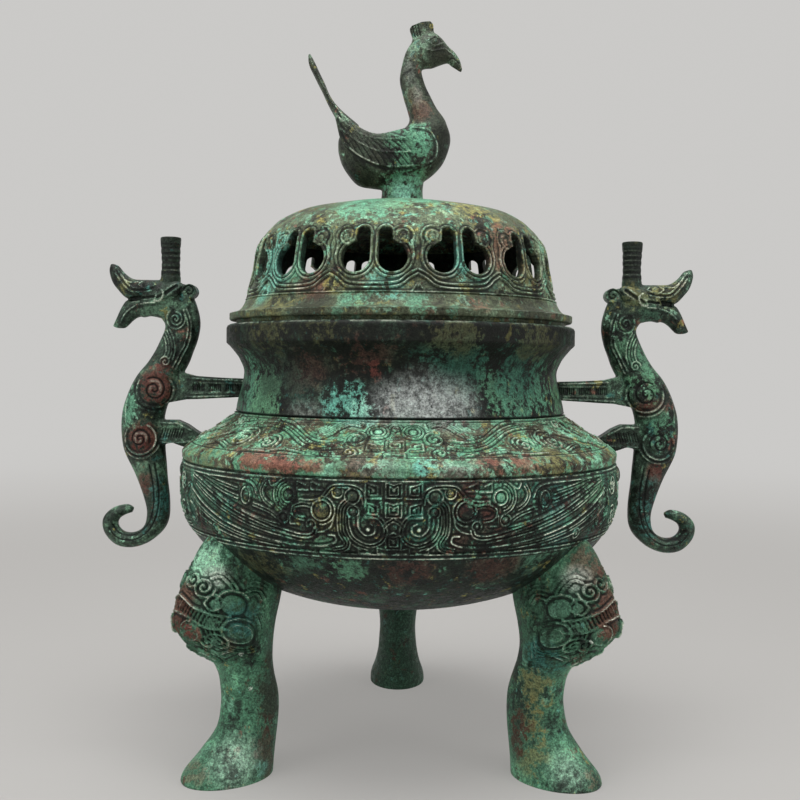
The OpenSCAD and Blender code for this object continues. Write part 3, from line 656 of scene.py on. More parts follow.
def belly_canvas():
    """A quarter of the belly's relief: the dragon in profile by the thunder panel, out to the side mask."""
    c = Canvas((0, 97), (90, 131), (BELLY_ARC, 1.0))
    c.straight([[0, 129.0], [90, 129.0]], 0.9, 0.5)
    c.straight([[0, 101.2], [90, 101.2]], 0.7, 0.75)
    c.straight([[0, 99.4], [90, 99.4]], 0.9, 0.85)
    # thunder panel at the middle
    for place in ((0, 125.6), (4.4, 125.4), (0, 118.4), (4.4, 118.2), (0, 106.2)):
        c.key(place, (5.8, 5.6), 2)
        c.arc(place, 0.4, 0, 360, 0.7, 0.7, steps=8)
    c.key((2.1, 102.9), (5.0, 2.4), 1)
    c.key((6.4, 102.9), (4.6, 2.4), 1)
    c.line([[0, 114.2], [1.0, 113.2], [1.9, 111.6]], sides=(0, 1.1))
    c.line([[0, 110.0], [0.9, 109.2]])
    # curls over the snout
    c.boss((8.9, 123.2), 2.0, 0.8)
    c.arc((8.9, 123.2), 2.9)
    c.boss((12.2, 124.6), 1.5, 0.8)
    c.arc((12.2, 124.6), 2.1, 150, 390)
    c.line([[5.9, 120.6], [6.6, 125.2], [8.6, 127.2], [11.4, 127.5], [13.6, 126.9], [14.9, 124.6],
            [16.2, 122.2], [18.6, 121.2], [21.0, 121.4]], sides=(0, -1.15))
    # drop-shaped spiral under the curl
    c.boss((8.7, 117.6), 1.5, 0.85)
    c.arc((8.7, 117.6), 2.2, -60, 230)
    c.line([[9.6, 116.2], [9.5, 112], [8.4, 107.8], [5.6, 105.4], [3.2, 106.4], [2.0, 109.5], [2.4, 113],
            [3.8, 115.4], [6.2, 115.8]], sides=(0, 1.15))
    c.line([[7.6, 115.6], [7.5, 111.6], [6.0, 108.8], [4.2, 109.6], [3.9, 112], [5.0, 113.2]])
    c.boss((5.5, 111.0), 0.9, 0.8)
    c.line([[9.8, 121.6], [11.2, 119.0], [11.5, 114], [11.3, 109.5], [10.2, 106], [10.8, 103.6],
            [13.4, 102.4]], sides=(0, 1.1, -1.1))
    c.line([[7.2, 103.0], [9.0, 105.2], [9.8, 107]])
    eye = (15.8, 117.6)
    c.boss(eye, 3.1, 1.0)
    c.arc(eye, 3.9, 0, 360, 0.9, 0.9)
    c.arc(eye, 5.3, 95, 275, 0.9, 0.85)
    c.line([[13.0, 114.6], [13.7, 111.6], [15.2, 109.8], [17.0, 109.2]])
    c.line([[18.4, 118.6], [20.4, 118.9], [22.2, 117.6], [21.6, 115.2], [19.8, 114.6]], sides=(0, 1.1))
    c.arc((18.2, 112.0), 1.9, -30, 240)
    c.boss((18.2, 112.0), 1.0, 0.7)
    c.key((22.3, 113.8), (3.4, 4.0), 1)
    # horn, with its stripes, and the small curls behind the eye
    horn = (23.8, 122.6)
    c.boss(horn, 1.9, 0.9)
    c.arc(horn, 2.8)
    for reach in (4.0, 5.2, 6.4):
        c.arc(horn, reach, -75, 70)
    for k in range(4):
        c.line([[18.6 + 0.75 * k, 119.9], [18.9 + 0.75 * k, 120.6], [18.7 + 0.75 * k, 121.3]], 0.7, 0.7)
    c.boss((25.0, 114.0), 1.4, 0.85)
    c.arc((25.0, 114.0), 2.2)
    c.line([[26.4, 113.0], [28.5, 115.2], [31.2, 116.6], [33.4, 117.4]], sides=(0, 1.1))
    c.line([[27.8, 118.4], [29.6, 120.2], [30.6, 123.2], [29.8, 126.4]], sides=(0, -1.1))
    c.key((16.9, 126.6), (4.6, 3.0), 1)
    c.key((20.3, 126.4), (4.6, 3.2), 1)
    c.line([[26.6, 126.9], [28.2, 125.6], [29.0, 127.6]], 0.7, 0.7)
    c.boss((35.6, 121.0), 2.4, 0.8, 0.7)
    c.arc((35.6, 121.0), 3.2, flat=0.72)
    c.line([[32.4, 122.0], [33.4, 125.2], [36, 126.8], [42, 127.2], [50, 127.3], [58, 127.6]])
    # plumes that sweep up to the side
    c.line([[16.8, 110.6], [17.6, 107.9], [20.2, 106.8], [24.2, 107.9], [31.6, 111], [40.6, 115.6],
            [48, 120.4], [53, 123.2], [58, 125.6]], 0.95, 0.9, sides=(0, 1.25))
    c.line([[26.0, 111.2], [33, 113.6], [41, 117.8], [48, 122.2], [54, 125.2]])
    c.line([[38.2, 119.4], [44, 121.6], [51, 125]], sides=(0, 1.2))
    c.line([[38.6, 122.6], [45, 124.4], [52, 126.4]], sides=(0, 1.1))
    c.line([[21.0, 105.4], [32, 108.6], [41, 112.8], [49, 117.6], [56, 122.4]], sides=(0, 1.2))
    c.line([[14.4, 108.4], [12.9, 108.2], [12.8, 105.9], [14.8, 104.3], [18, 103.7], [24, 103.8],
            [34.4, 106.2], [44.2, 110.4], [52.4, 115.6], [59, 120.6]], 0.95, 0.9)
    c.line([[27, 103.6], [36, 105.2], [45, 108.6], [52, 112.8], [58, 117]], sides=(0, -1.2))
    c.line([[36, 102.6], [45, 105.2], [53, 109.4], [60, 114.6]])
    # leaf curls at the foot of the side mask
    c.line([[53, 109.4], [57, 115.4], [60.4, 121], [62.4, 117.4], [61.6, 111], [58.4, 107.4], [56.4, 110.6],
            [58.4, 114.6]], sides=(0, 1.15))
    c.boss((47.5, 105.6), 1.3, 0.8)
    c.arc((47.5, 105.6), 2.0)
    c.spiral((66.5, 122.6), 4.6, 2.0, 200)
    c.spiral((67.5, 109.0), 4.8, 2.0, 120, -1)
    c.line([[63.4, 103.4], [68, 102.8], [74, 103.8], [80, 102.6]], sides=(0, 1.2))
    # side mask
    c.spiral((75.4, 117.6), 4.8, 2.2, 10)
    c.spiral((78.2, 108.0), 4.0, 1.8, 180, -1)
    c.line([[73.0, 126.8], [78, 124.6], [82, 126.2], [86.4, 127.2]], sides=(0, -1.2))
    c.boss((86.2, 123.5), 4.1, 2.1)
    c.boss((90, 116.0), 4.1, 2.1)
    c.boss((87.0, 109.0), 4.1, 2.1)
    c.line([[82.2, 119.6], [81.4, 115], [83.4, 111.4]], sides=(0, 1.2))
    c.line([[90, 103.6], [86, 103.2], [82.4, 105.2]])
    c.echo(1.35, 0.38, 101.2, 129.0)
    return c


FRONT = (-90, 90)
BACK = (90, 270)
FRONT_PITCH = 0.36
LACE_PITCH = 0.42
BACK_PITCH = 0.5
PATTERN_TURN = -1.1
BACK_ROWS = 9
EDGE_REACH = 1.4


def folded(angle):
    """Degrees from the nearest of front and back, so that a quarter of a pattern goes all round."""
    a = np.abs((angle + 180) % 360 - 180)
    return np.minimum(a, 180 - a)


def on_pattern(canvas, angle, height):
    """A quarter's pattern at angles and heights all round the vessel."""
    return canvas.at(folded(angle - PATTERN_TURN) + 0 * height, height + 0 * angle)


def band_grid(profile, first, last, pitch):
    """A row of angles over part of the round, and columns of the radii and heights of a section's line."""
    cols = int(math.radians(last - first) * float(profile[:, 0].mean()) / pitch) + 1
    line = resampled(profile, pitch)
    return np.linspace(first, last, cols)[None, :], line[:, :1], line[:, 1:]


def ways_out(radius, height):
    """The way out of the metal along a section's line, as its parts in radius and in height."""
    along = np.gradient(np.hstack([radius, height]), axis=0)
    along /= np.linalg.norm(along, axis=1)[:, None]
    return along[:, 1:], -along[:, :1]


def round_grid(angle, radius, height):
    """Points at angles from the front to the right, radii and heights."""
    a = np.radians(angle)
    r = radius + 0 * a
    return np.stack([r * np.sin(a), -r * np.cos(a), height + 0 * r], axis=-1)


def grid_unevenness(angle, radius, height, size, seed):
    """Unevenness over a grid round the vessel."""
    grid = round_grid(angle, radius, height)
    return unevenness(grid.reshape(-1, 3), size, seed).reshape(grid.shape[:2])


def back_rows(height):
    """Numbers of the few rows that the back of a band needs."""
    return np.linspace(0, len(height) - 1, BACK_ROWS).astype(int)


def band_piece(name, outer, inner, wear_and_light, material):
    """A piece of the bowl from the fine front of a band, the rows behind it and the front's wear and painted
    light.
    """
    points, quads, ends = backed(outer, inner)
    wear_and_light = np.concatenate([wear_and_light.ravel(), np.full(len(points) - wear_and_light.size, PLAIN)])
    add_piece(name, points, quads, wear_and_light, material, "vessel", ["bowl"], ends)


def belly_band(name, canvas, first, last, pitch, material):
    """A half of the belly's band, with the relief standing on sunk ground."""
    ground = 0.95
    back = 2.6
    z = np.array([BAND_LOW_Z, 100, 104, 106, 110, BELLY_Z, 119, 122, 126, 128.5, BAND_HIGH_Z])
    swell = np.array([0.1, 1.25, 1.3, 1.3, 1.3, 1.3, 1.3, 1.3, 1.15, 1.0, 0.0])
    profile = np.stack([lower_r(np.minimum(z, BELLY_Z)) + swell, z], axis=1)
    angle, radius, height = band_grid(profile, first, last, pitch)
    relief = on_pattern(canvas, angle, height)
    rough = 0.05 * grid_unevenness(angle, radius, height, 9, 5)
    edge = smooth_step(BAND_LOW_Z, BAND_LOW_Z + 0.8, height)
    edge = edge * smooth_step(BAND_HIGH_Z, BAND_HIGH_Z - 0.6, height)
    # only the bosses of the side masks stand above the band's swell
    lift = np.minimum(relief - ground + rough, np.where(relief > 1.1, 1.2, -0.02)) * edge
    rows = back_rows(height)
    inner = round_grid(angle, radius[rows] - back, height[rows])
    wear_and_light = edge_wear_and_light(on_pattern(canvas.contrast(EDGE_REACH), angle, height))
    band_piece(name, round_grid(angle, radius + lift, height), inner, wear_and_light, material)


SHOULDER_ARC = 1.5
SHOULDER_RISE = 1.85


def shoulder_canvas():
    """A quarter of the shoulder's relief: a long wave with curled ends over fine parallel lines."""
    c = Canvas((0, 136), (90, 151.5), (SHOULDER_ARC, SHOULDER_RISE))
    c.straight([[0, 137.0], [90, 137.0]], 0.8, 0.6)
    c.straight([[0, 150.3], [90, 150.3]], 0.8, 0.6)
    c.key((0, 141.6), (6.2, 5.2), 2)
    c.key((0, 138.2), (7.0, 2.4), 1)
    eye = (4.8, 146.2)
    c.arc(eye, 4.2)
    c.arc(eye, 2.9)
    c.boss(eye, 1.6, 0.6)
    c.spiral((0, 147.6), 2.6, 1.6)
    c.key((5.4, 141.0), (4.4, 4.2), 1)
    c.spiral((10.2, 143.6), 4.4, 2.0, 90)
    c.spiral((10.8, 139.0), 2.8, 1.5, 270, -1)
    c.line([[9.6, 148.6], [13, 149.2], [16, 147.8], [18.4, 145.4], [21, 143.8]], sides=(0, 1.2, -1.2))
    # the wave
    c.line([[13, 140.6], [18, 140.0], [23, 141.0], [28, 143.6], [33, 146.0], [39, 147.2], [46, 146.6],
            [53, 144.0], [60, 141.4], [67, 139.6]], 1.0, 0.75, sides=(0, 1.3, 2.6))
    c.line([[14, 143.4], [19, 142.6], [24, 144.0], [29, 147.0], [33, 149.0], [38, 149.6]], 0.9, 0.7)
    c.spiral((45.5, 142.2), 5.4, 2.2, 60, -1, 0.9, 0.7)
    c.arc((45.5, 142.2), 6.8, 20, 200)
    c.spiral((34.6, 141.2), 3.6, 1.6, 30)
    c.arc((34.6, 141.2), 4.8, 0, 210)
    c.line([[22, 138.4], [28, 139.2], [33, 138.2], [40, 138.2]])
    c.line([[48, 138.4], [54, 139.8], [60, 138.4]], sides=(0, 1.2))
    c.spiral((58, 147.4), 3.8, 1.8, 200, -1)
    c.line([[50, 149.0], [54, 148.2]], sides=(0, 1.2))
    c.line([[62, 149.2], [66, 146.6], [71, 144.0], [77, 142.6]], sides=(0, 1.3, -1.3))
    c.spiral((72.5, 140.2), 3.4, 1.6, 100)
    c.spiral((84, 145.6), 4.6, 2.0, 180, -1)
    c.line([[69, 149.0], [75, 147.2], [79, 148.8]])
    c.line([[78, 139.0], [84, 140.4], [90, 140.0]], sides=(0, 1.2))
    c.line([[16.4, 137.9], [19.6, 138.6]])
    c.echo(1.4, 0.32, 137.0, 150.3)
    return c


def shoulder_band(name, canvas, first, last, pitch, material):
    """A half of the shoulder: the plain swelling over the belly's groove, and the wave pattern above it."""
    ground = 0.35
    angle, radius, height = band_grid(shoulder_line()[:-1], first, last, pitch)
    out_r, out_z = ways_out(radius, height)
    patterned = smooth_step(SHOULDER_LOW_Z, SHOULDER_LOW_Z + 0.5, height)
    groove = 0.9 * (1 - smooth_step(BAND_HIGH_Z, BAND_HIGH_Z + 1.6, height))
    rough = 0.12 * grid_unevenness(angle, radius, height, 16, 8) - 0.12
    lift = patterned * (on_pattern(canvas, angle, height) - ground) + rough - groove
    outer = round_grid(angle, radius + lift * out_r, height + lift * out_z)
    rows = back_rows(height)
    inner = round_grid(angle, (radius - 2.4 * np.abs(out_r) - 0.6)[rows], (height - 2.2 * out_z)[rows])
    # The groove over the belly's band is painted darker: patina in the groove and painted shade.
    wear_and_light = edge_wear_and_light(patterned * on_pattern(canvas.contrast(EDGE_REACH), angle, height)) - 0.5 * groove
    band_piece(name, outer, inner, wear_and_light, material)


# Lid

WINDOW_PAIRS = 12
WINDOW_TURN = 20.5
WINDOW_R = 6.0
WINDOW_TIP_R = 2.7
WINDOW_Z = RIM_Z + 25.5
WINDOW_TIP_RISE = 9.8
MULLION_W = 3.3
LACE_LOW_Z = 200.6
LACE_HIGH_Z = 231.5
LACE_GROUND = 0.4
LACE_INNER_SHADE = 0.15


def window_outline():
    """Outline of the window to the right of its bar: a round lobe, a notch and a narrow upper lobe."""
    lobe = np.radians(np.linspace(180, 420, 40))
    tip = np.radians(np.linspace(0, 180, 24))
    points = np.vstack([WINDOW_R * np.stack([1 + np.cos(lobe), np.sin(lobe)], axis=1),
                        [[2 * WINDOW_TIP_R + 0.5, (WINDOW_R + WINDOW_TIP_RISE) / 2 - 1]],
                        np.array([0, WINDOW_TIP_RISE])
                        + WINDOW_TIP_R * np.stack([1 + np.cos(tip), np.sin(tip)], axis=1)])
    return points + np.array([MULLION_W / 2, WINDOW_Z])


def outline_distance(outline, x, z):
    """Distance from places to a closed outline, negative inside it, and the nearest points on it."""
    best = np.full(x.shape, 1e9)
    near_x = np.zeros(x.shape)
    near_z = np.zeros(x.shape)
    inside = np.zeros(x.shape, bool)
    for a, b in zip(outline, np.roll(outline, -1, axis=0)):
        span = b - a
        t = np.clip(((x - a[0]) * span[0] + (z - a[1]) * span[1]) / max(float(span @ span), 1e-9), 0, 1)
        px = a[0] + t * span[0]
        pz = a[1] + t * span[1]
        away = np.hypot(x - px, z - pz)
        closer = away < best
        best = np.where(closer, away, best)
        near_x = np.where(closer, px, near_x)
        near_z = np.where(closer, pz, near_z)
        crosses = (a[1] > z) != (b[1] > z)
        at = a[0] + (z - a[1]) / (span[1] if abs(span[1]) > 1e-9 else 1e-9) * span[0]
        inside ^= crosses & (x < at)
    return np.where(inside, -best, best), near_x, near_z


def dome_profile():
    """Outer line of the lid from its flange to its crown, as [radius, height]."""
    run = FLANGE_R - DOME_R
    rise = DOME_FOOT_Z - FLANGE_HIGH_Z
    height = CROWN_Z - DOME_FOOT_Z
    points = [[FLANGE_R, FLANGE_HIGH_Z],
              [DOME_R + 0.47 * run, FLANGE_HIGH_Z + 0.17 * rise],
              [DOME_R + 0.17 * run, FLANGE_HIGH_Z + 0.52 * rise],
              [DOME_R, DOME_FOOT_Z],
              [DOME_R - 2.5, DOME_FOOT_Z + 0.245 * height],
              [DOME_R - 4.5, DOME_FOOT_Z + 0.485 * height],
              [DOME_R - 6.7, DOME_FOOT_Z + 0.59 * height],
              [DOME_R - 10.8, DOME_FOOT_Z + 0.705 * height],
              [DOME_R - 15.3, DOME_FOOT_Z + 0.79 * height],
              [DOME_R - 24.5, DOME_FOOT_Z + 0.885 * height],
              [DOME_R - 42.5, DOME_FOOT_Z + 0.967 * height],
              [CROWN_R, CROWN_Z]]
    return curve(points, 12)


def lace_canvas():
    """One window pair of the lid with its outlines, curls and the scalloped lines under it."""
    c = Canvas((0, 198), (20, 234), (1.0, 1.0))
    where, u, v = c.window(np.zeros(2), np.array([20.0, 36.0]))
    x = u + 0 * v
    z = v + c.low[1] + 0 * u
    away = outline_distance(window_outline(), x, z)[0]
    curl = (11.0, WINDOW_Z + 8.4)
    clear = np.minimum(away, np.hypot(x - curl[0], z - curl[1]) - 3.6)
    c.height[where] = LACE_GROUND * smooth_step(1.0, 2.4, clear) * smooth_step(WINDOW_Z + 6, WINDOW_Z + 10, z)
    low_part = z < WINDOW_Z + 7
    for reach in (0.55, 2.1):
        form = 0.75 * np.clip(1 - ((away - reach) / 0.5) ** 2, 0, 1) ** 0.7
        c.height[where] = np.maximum(c.height[where], np.where(low_part | (reach < 1), form, 0))
    c.boss(curl, 3.6, 0.55)
    c.spiral(curl, 3.5, 1.9, 200, 1, 0.85, 0.95)
    c.line([[7.4, WINDOW_Z + 11.4], [10.0, WINDOW_Z + 12.9], [13.4, WINDOW_Z + 12.2], [15.6, WINDOW_Z + 9.4],
            [15.4, WINDOW_Z + 6.2]], 0.8, 0.7)
    c.line([[14.9, WINDOW_Z + 6.6], [15.6, WINDOW_Z + 3], [16.2, WINDOW_Z]], 0.8, 0.7)
    scallop = [[0, WINDOW_Z - 12.4], [7, WINDOW_Z - 12.2], [11.4, WINDOW_Z - 11.2], [14.6, WINDOW_Z - 8.6],
               [18.2, WINDOW_Z - 6.4]]
    c.line(scallop, 0.9, 0.85, sides=(0, 1.7))
    c.straight([[20, WINDOW_Z - 13.8], [17.6, WINDOW_Z - 11.0], [15.8, WINDOW_Z - 13.8]], 0.7, 0.6)
    c.straight([[0, WINDOW_Z - 14.1], [20, WINDOW_Z - 14.1]], 0.8, 0.75)
    return c


def has_width(across, up, least):
    """Whether each cell of a grid has more than a least area."""
    rising = (across[1:, 1:] - across[:-1, :-1]) * (up[1:, :-1] - up[:-1, 1:])
    falling = (up[1:, 1:] - up[:-1, :-1]) * (across[1:, :-1] - across[:-1, 1:])
    return np.abs(rising - falling) > least


def lace_band(name, canvas, first, last, pitch, material):
    """A half of the pierced band of the lid. Points near a window are moved onto its outline."""
    margin = 0.4
    profile = dome_profile()
    profile = profile[(profile[:, 1] > LACE_LOW_Z - margin) & (profile[:, 1] < LACE_HIGH_Z + margin)]
    angle, radius, height = band_grid(profile, first, last, pitch)
    out_r, out_z = ways_out(radius, height)
    pair = 360 / WINDOW_PAIRS
    local = (angle - WINDOW_TURN + pair / 2) % pair - pair / 2
    side = radius * np.sin(np.radians(local))
    z = height + 0 * angle
    away, near_x, near_z = outline_distance(window_outline(), np.abs(side), z)
    near = np.abs(away) < 0.75 * pitch
    side = np.where(near, near_x * np.sign(side), side)
    z = np.where(near, near_z, z)
    angle = angle - local + np.degrees(np.arcsin(np.clip(side / radius, -1, 1)))
    keep = (away[:-1, :-1] + away[1:, :-1] + away[:-1, 1:] + away[1:, 1:]) / 4 > 0
    keep &= has_width(np.radians(angle) * radius, z, 0.1 * pitch ** 2)
    r = np.interp(z, height[:, 0], radius[:, 0])
    rough = 0.08 * grid_unevenness(angle, r, z, 10, 4) - 0.08
    rough = rough * smooth_step(LACE_HIGH_Z - 0.3, LACE_HIGH_Z - 4, z)
    lift = canvas.at(np.abs(side), z) - LACE_GROUND + rough
    outer = round_grid(angle, r + lift * out_r, z + lift * out_z)
    inner = round_grid(angle, r - LID_WALL * out_r, z - LID_WALL * out_z)
    points, faces, used = shell(outer, inner, keep)
    wear_and_light = edge_wear_and_light(canvas.contrast(EDGE_REACH).at(np.abs(side), z))
    # The lid's inside is painted dark, as painted shade under the dome.
    wear_and_light = np.concatenate([wear_and_light.ravel(), np.full(wear_and_light.size, LACE_INNER_SHADE)])
    add_piece(name, points, faces, wear_and_light[used], material, "lid", ["lid"])


def lid_foot(material):
    """Flange, seat ring and spigot of the lid, up to the pierced band."""
    profile = dome_profile()
    low = profile[profile[:, 1] < LACE_LOW_Z + 0.2]
    inner_r = SPIGOT_R - LID_WALL
    spigot_z = RIM_Z - SPIGOT_DEPTH
    under = [[inner_r, FLANGE_LOW_Z],
             [inner_r, spigot_z],
             [SPIGOT_R - 0.3, spigot_z],
             [SPIGOT_R, spigot_z + 0.3],
             [SPIGOT_R, RIM_Z],
             [SEAT_R, RIM_Z],
             [SEAT_R, FLANGE_LOW_Z],
             [FLANGE_R - 0.5, FLANGE_LOW_Z],
             [FLANGE_R, FLANGE_LOW_Z + 0.4],
             [FLANGE_R, FLANGE_HIGH_Z - 0.4]]
    outline = np.vstack([low, low[-1:] - np.array([[2.9, 0]]), under])
    points, faces = closed_lathe(looped(outline, 0.8), 420)
    wear_and_light = np.full(len(points), PLAIN)
    # The flange's top edge is painted pale: rubbed metal and a painted highlight.
    wear_and_light[(points[:, 2] > FLANGE_HIGH_Z - 0.7) & (axis_distance(points) > FLANGE_R - 0.7)] = RUBBED_AND_LIT_EDGE
    add_piece("lid_foot", points, faces, wear_and_light, material, "lid", ["lid"])


def lid_crown(material):
    """The dome over the windows, up to the flat under the bird."""
    profile = dome_profile()
    high = profile[profile[:, 1] > LACE_HIGH_Z - 0.3]
    inside = high - LID_WALL * np.hstack(ways_out(high[:, :1], high[:, 1:]))
    inside = inside[inside[:, 0] > CROWN_R]
    pad = [[POLE_R, CROWN_Z],
           [POLE_R, CROWN_Z - CROWN_PAD],
           [CROWN_PAD_R, CROWN_Z - CROWN_PAD],
           [CROWN_PAD_R, CROWN_Z - LID_WALL]]
    points, faces = closed_lathe(looped(np.vstack([high, pad, inside[::-1]]), 1.0), 360)
    free = smooth_step(14, 24, axis_distance(points))
    free = free * smooth_step(LACE_HIGH_Z, LACE_HIGH_Z + 2, points[:, 2])
    points[:, 2] += free * (0.22 * unevenness(points, 22, 12) - 0.22)
    add_piece("lid_crown", points, faces, PLAIN, material, "lid", ["lid"])


# Legs

def shin(rise):
    """Height on the shin, by a rise that is 36.5 from the ankle to the knee."""
    return ANKLE_Z + rise * (KNEE_Z - ANKLE_Z) / 36.5


# Rows of a leg: outer rail, inner rail, half width, and the row's share of the foot's shift
LEG_STATIONS = [
    [12, 45 + KNEE_Z, -16, 30 + KNEE_Z, 9, 0],
    [25, 31 + KNEE_Z, -14, 17 + KNEE_Z, 11.8, 0],
    [31.5, 19.5 + KNEE_Z, -12, 7.5 + KNEE_Z, 13.5, 0],
    [34.8, 9.5 + KNEE_Z, -9, KNEE_Z - 2, 15, 0],
    [35.5, KNEE_Z, -7.8, shin(27), 15, 0],
    [30, shin(28), -8.2, shin(21), 14, 0.3],
    [20, shin(21), -9.4, shin(16), 12.2, 0.65],
    [14.8, shin(15), -11, shin(11), 10.8, 0.9],
    [13.1, shin(7), -12.6, shin(5), 10, 1],
    [13.2, ANKLE_Z, -12.9, ANKLE_Z - 1, 9.8, 1],
    [15.3, 0.69 * ANKLE_Z, -12.3, 0.69 * ANKLE_Z, 10.4, 1],
    [22, 0.4 * ANKLE_Z, -11.2, 0.38 * ANKLE_Z, 12.4, 1],
    [28.5, 5, -10.3, 4.5, 14.4, 1],
    [30.5, 1.5, -10, 1.5, 14.8, 1],
    [30, 0, -9.6, 0, 14.5, 1]]


def leg_canvas():
    """The mask on a knee, by degrees round the leg from its outer side and height."""
    c = Canvas((0, 38), (180, 110), (0.27, 1.0))
    c.boss((30, 65.6), 4.6, 2.0)
    c.spiral((30, 65.6), 4.4, 1.8, 90, 1, 0.9, 2.3)
    c.boss((27, 53.4), 3.8, 1.9)
    c.arc((27, 53.4), 2.6, 0, 360, 0.9, 2.1)
    # brow band with its slanting strokes
    c.line([[0, 78.6], [14, 77.4], [30, 75.4], [46, 74.4], [60, 74.0], [76, 74.6]], 1.1, 1.5)
    c.line([[0, 72.0], [16, 71.6], [30, 70.6], [46, 68.6], [60, 68.4], [78, 69.4]], 1.1, 1.5)
    for k in range(13):
        c.straight([[3 + 5.4 * k, 71.6 - 0.3 * k], [9 + 5.4 * k, 76.6 - 0.22 * k]], 0.8, 1.1)
    # eye
    c.boss((57, 78.4), 2.1, 1.2)
    c.line([[44, 78.0], [50, 81.0], [58, 81.6], [66, 79.0], [58, 76.0], [50, 76.0], [44, 78.0]], 0.9, 1.6)
    c.boss((77, 79.2), 4.0, 1.5)
    c.arc((77, 79.2), 5.4, 40, 220, 0.9, 1.4)
    # horn volutes
    c.spiral((38, 83.6), 4.2, 1.9, 0, -1, 0.9, 1.6)
    c.spiral((18, 85.6), 3.4, 1.6, 180, 1, 0.9, 1.4)
    c.line([[44, 87.4], [54, 89.0], [66, 87.0], [74, 84.4]], 0.9, 1.2, sides=(0, 1.5))
    # jaw scrolls
    jaw = (88, 68.2)
    c.boss(jaw, 5.6, 0.8)
    c.spiral(jaw, 6.4, 2.3, 60, 1, 0.9, 1.6)
    for reach in (7.6, 8.9, 10.2):
        c.arc(jaw, reach, 150, 330, 0.8, 1.1)
    c.spiral((63, 62.6), 4.2, 2.0, 200, -1, 0.9, 1.4)
    c.spiral((48, 61.4), 3.2, 1.6, 20, 1, 0.9, 1.3)
    c.line([[38, 58.6], [46, 55.6], [56, 54.6], [68, 56.2], [78, 57.6]], 0.9, 1.2, sides=(0, 1.5))
    c.line([[108, 76.0], [115, 71], [113, 64], [105, 57.6]], 0.9, 1.1, sides=(0, 1.6))
    c.line([[92, 83.6], [101, 85.0], [110, 82.4]], 0.9, 1.1, sides=(0, 1.6))
    c.echo(1.7, 0.6, 50, 92)
    return c


LEG_SIDES = 216
MASK_GROUND = 0.9
SEATED = 0.985


def sections(line, a):
    """Ellipses at angles between an outer and an inner rail, which are the first columns of a line's rows."""
    outer_x, outer_z, inner_x, inner_z, half = (line[:, k:k + 1] for k in range(5))
    x = (outer_x + inner_x + (outer_x - inner_x) * np.cos(a)) / 2
    z = (outer_z + inner_z + (outer_z - inner_z) * np.cos(a)) / 2
    return np.stack([x, half * np.sin(a), z], axis=-1)


def leg(name, canvas, turn, shift, material):
    """A leg with its knee mask. Its top is pressed into the wall of the bowl that it seats on."""
    line = curve(LEG_STATIONS, 17)
    a = np.linspace(-180, 180, LEG_SIDES, endpoint=False)
    grid = sections(line, np.radians(a))
    grid[..., 0] += ANKLE_CIRCLE_R + shift * line[:, 5:]
    points = grid.reshape(-1, 3)
    index = np.arange(len(points)).reshape(-1, LEG_SIDES)
    ring = np.concatenate([index, index[:, :1]], axis=1)
    quads = cells(ring.T).swapaxes(0, 1).reshape(-1, 4)
    normals = vertex_normals(points, quads)
    around = (np.abs(a) + 0 * line[:, :1]).ravel()
    level = (line[:, 1:2] + 0 * a).ravel()
    masked = smooth_step(44, 51, level) * smooth_step(99, 89, level) * smooth_step(124, 112, around)
    rough = 0.25 * unevenness(points, 24, 9) * smooth_step(1, 8, points[:, 2]) - 0.25
    lift = (masked * (canvas.at(around, level) - MASK_GROUND) + rough) * smooth_step(0, 1.5, points[:, 2])
    points = points + normals * lift[:, None]
    points[:, 0] = np.minimum(points[:, 0], KNEE_REACH)
    centre = np.array([0, 0, BELLY_Z])
    away = points - centre
    depth = np.linalg.norm(away / np.array([BELLY_R, BELLY_R, LOWER_DEPTH]), axis=1)
    pressed = np.where(depth < SEATED, SEATED / np.maximum(depth, 0.05), 1.0)
    points = centre + away * pressed[:, None]
    points[:, 2] = np.maximum(points[:, 2], 0)
    wear_and_light = edge_wear_and_light(0.5 * masked * canvas.contrast(1.8).at(around, level))
    add_piece(name + "_cast", spun(points, turn), quads, wear_and_light, material, "vessel", [name],
              (index[0], index[-1, ::-1]))


# Cast figures, grown together from plain solids

VOXEL = 0.42


def tube_faces(rows, sides):
    """Faces of a tube of rings, closed at both ends."""
    ring = np.arange(rows * sides).reshape(rows, sides)
    quads = cells(np.concatenate([ring, ring[:, :1]], axis=1)).reshape(-1, 4)
    return [*quads.tolist(), ring[0, ::-1].tolist(), ring[-1].tolist()]


def loft(stations, steps, sides, middle=0.0):
    """A solid whose sections are ellipses between two rails. A sixth column moves a section sideways."""
    line = curve([list(s) + [0] * (6 - len(s)) for s in stations], steps)
    grid = sections(line, np.radians(np.arange(sides) * 360 / sides))
    grid[..., 1] += middle + line[:, 5:]
    return grid.reshape(-1, 3), tube_faces(len(line), sides)


def turned(profile, sides, centre=(0, 0, 0)):
    """A solid of revolution round z from a profile of [radius, height], closed at both ends."""
    line = np.asarray(profile, float)
    a = np.radians(np.arange(sides) * 360 / sides)
    r = line[:, :1]
    points = np.stack([r * np.cos(a), r * np.sin(a), line[:, 1:] + 0 * a], axis=-1).reshape(-1, 3)
    return points + np.asarray(centre), tube_faces(len(line), sides)


def slab(outline, half):
    """A flat plate with an outline in x and z."""
    line = np.asarray(outline, float)
    return np.vstack([np.insert(line, 1, y, axis=1) for y in (-half, half)]), tube_faces(2, len(line))


def dome_on_flank(place, radius, half, rise):
    """Two round bosses, one on each flank, that start a little under it."""
    root = 2
    t = np.linspace(0, 1, 8)
    r = radius * np.sqrt(np.maximum(1 - t ** 2, 0.0004))
    points, faces = turned(np.stack([r, half - root + (rise + root) * t], axis=1), 48)
    centre = np.array([place[0], 0, place[1]])
    return [(points[:, [0, 2, 1]] * np.array([1, side, -1]) + centre, faces) for side in (-1, 1)]


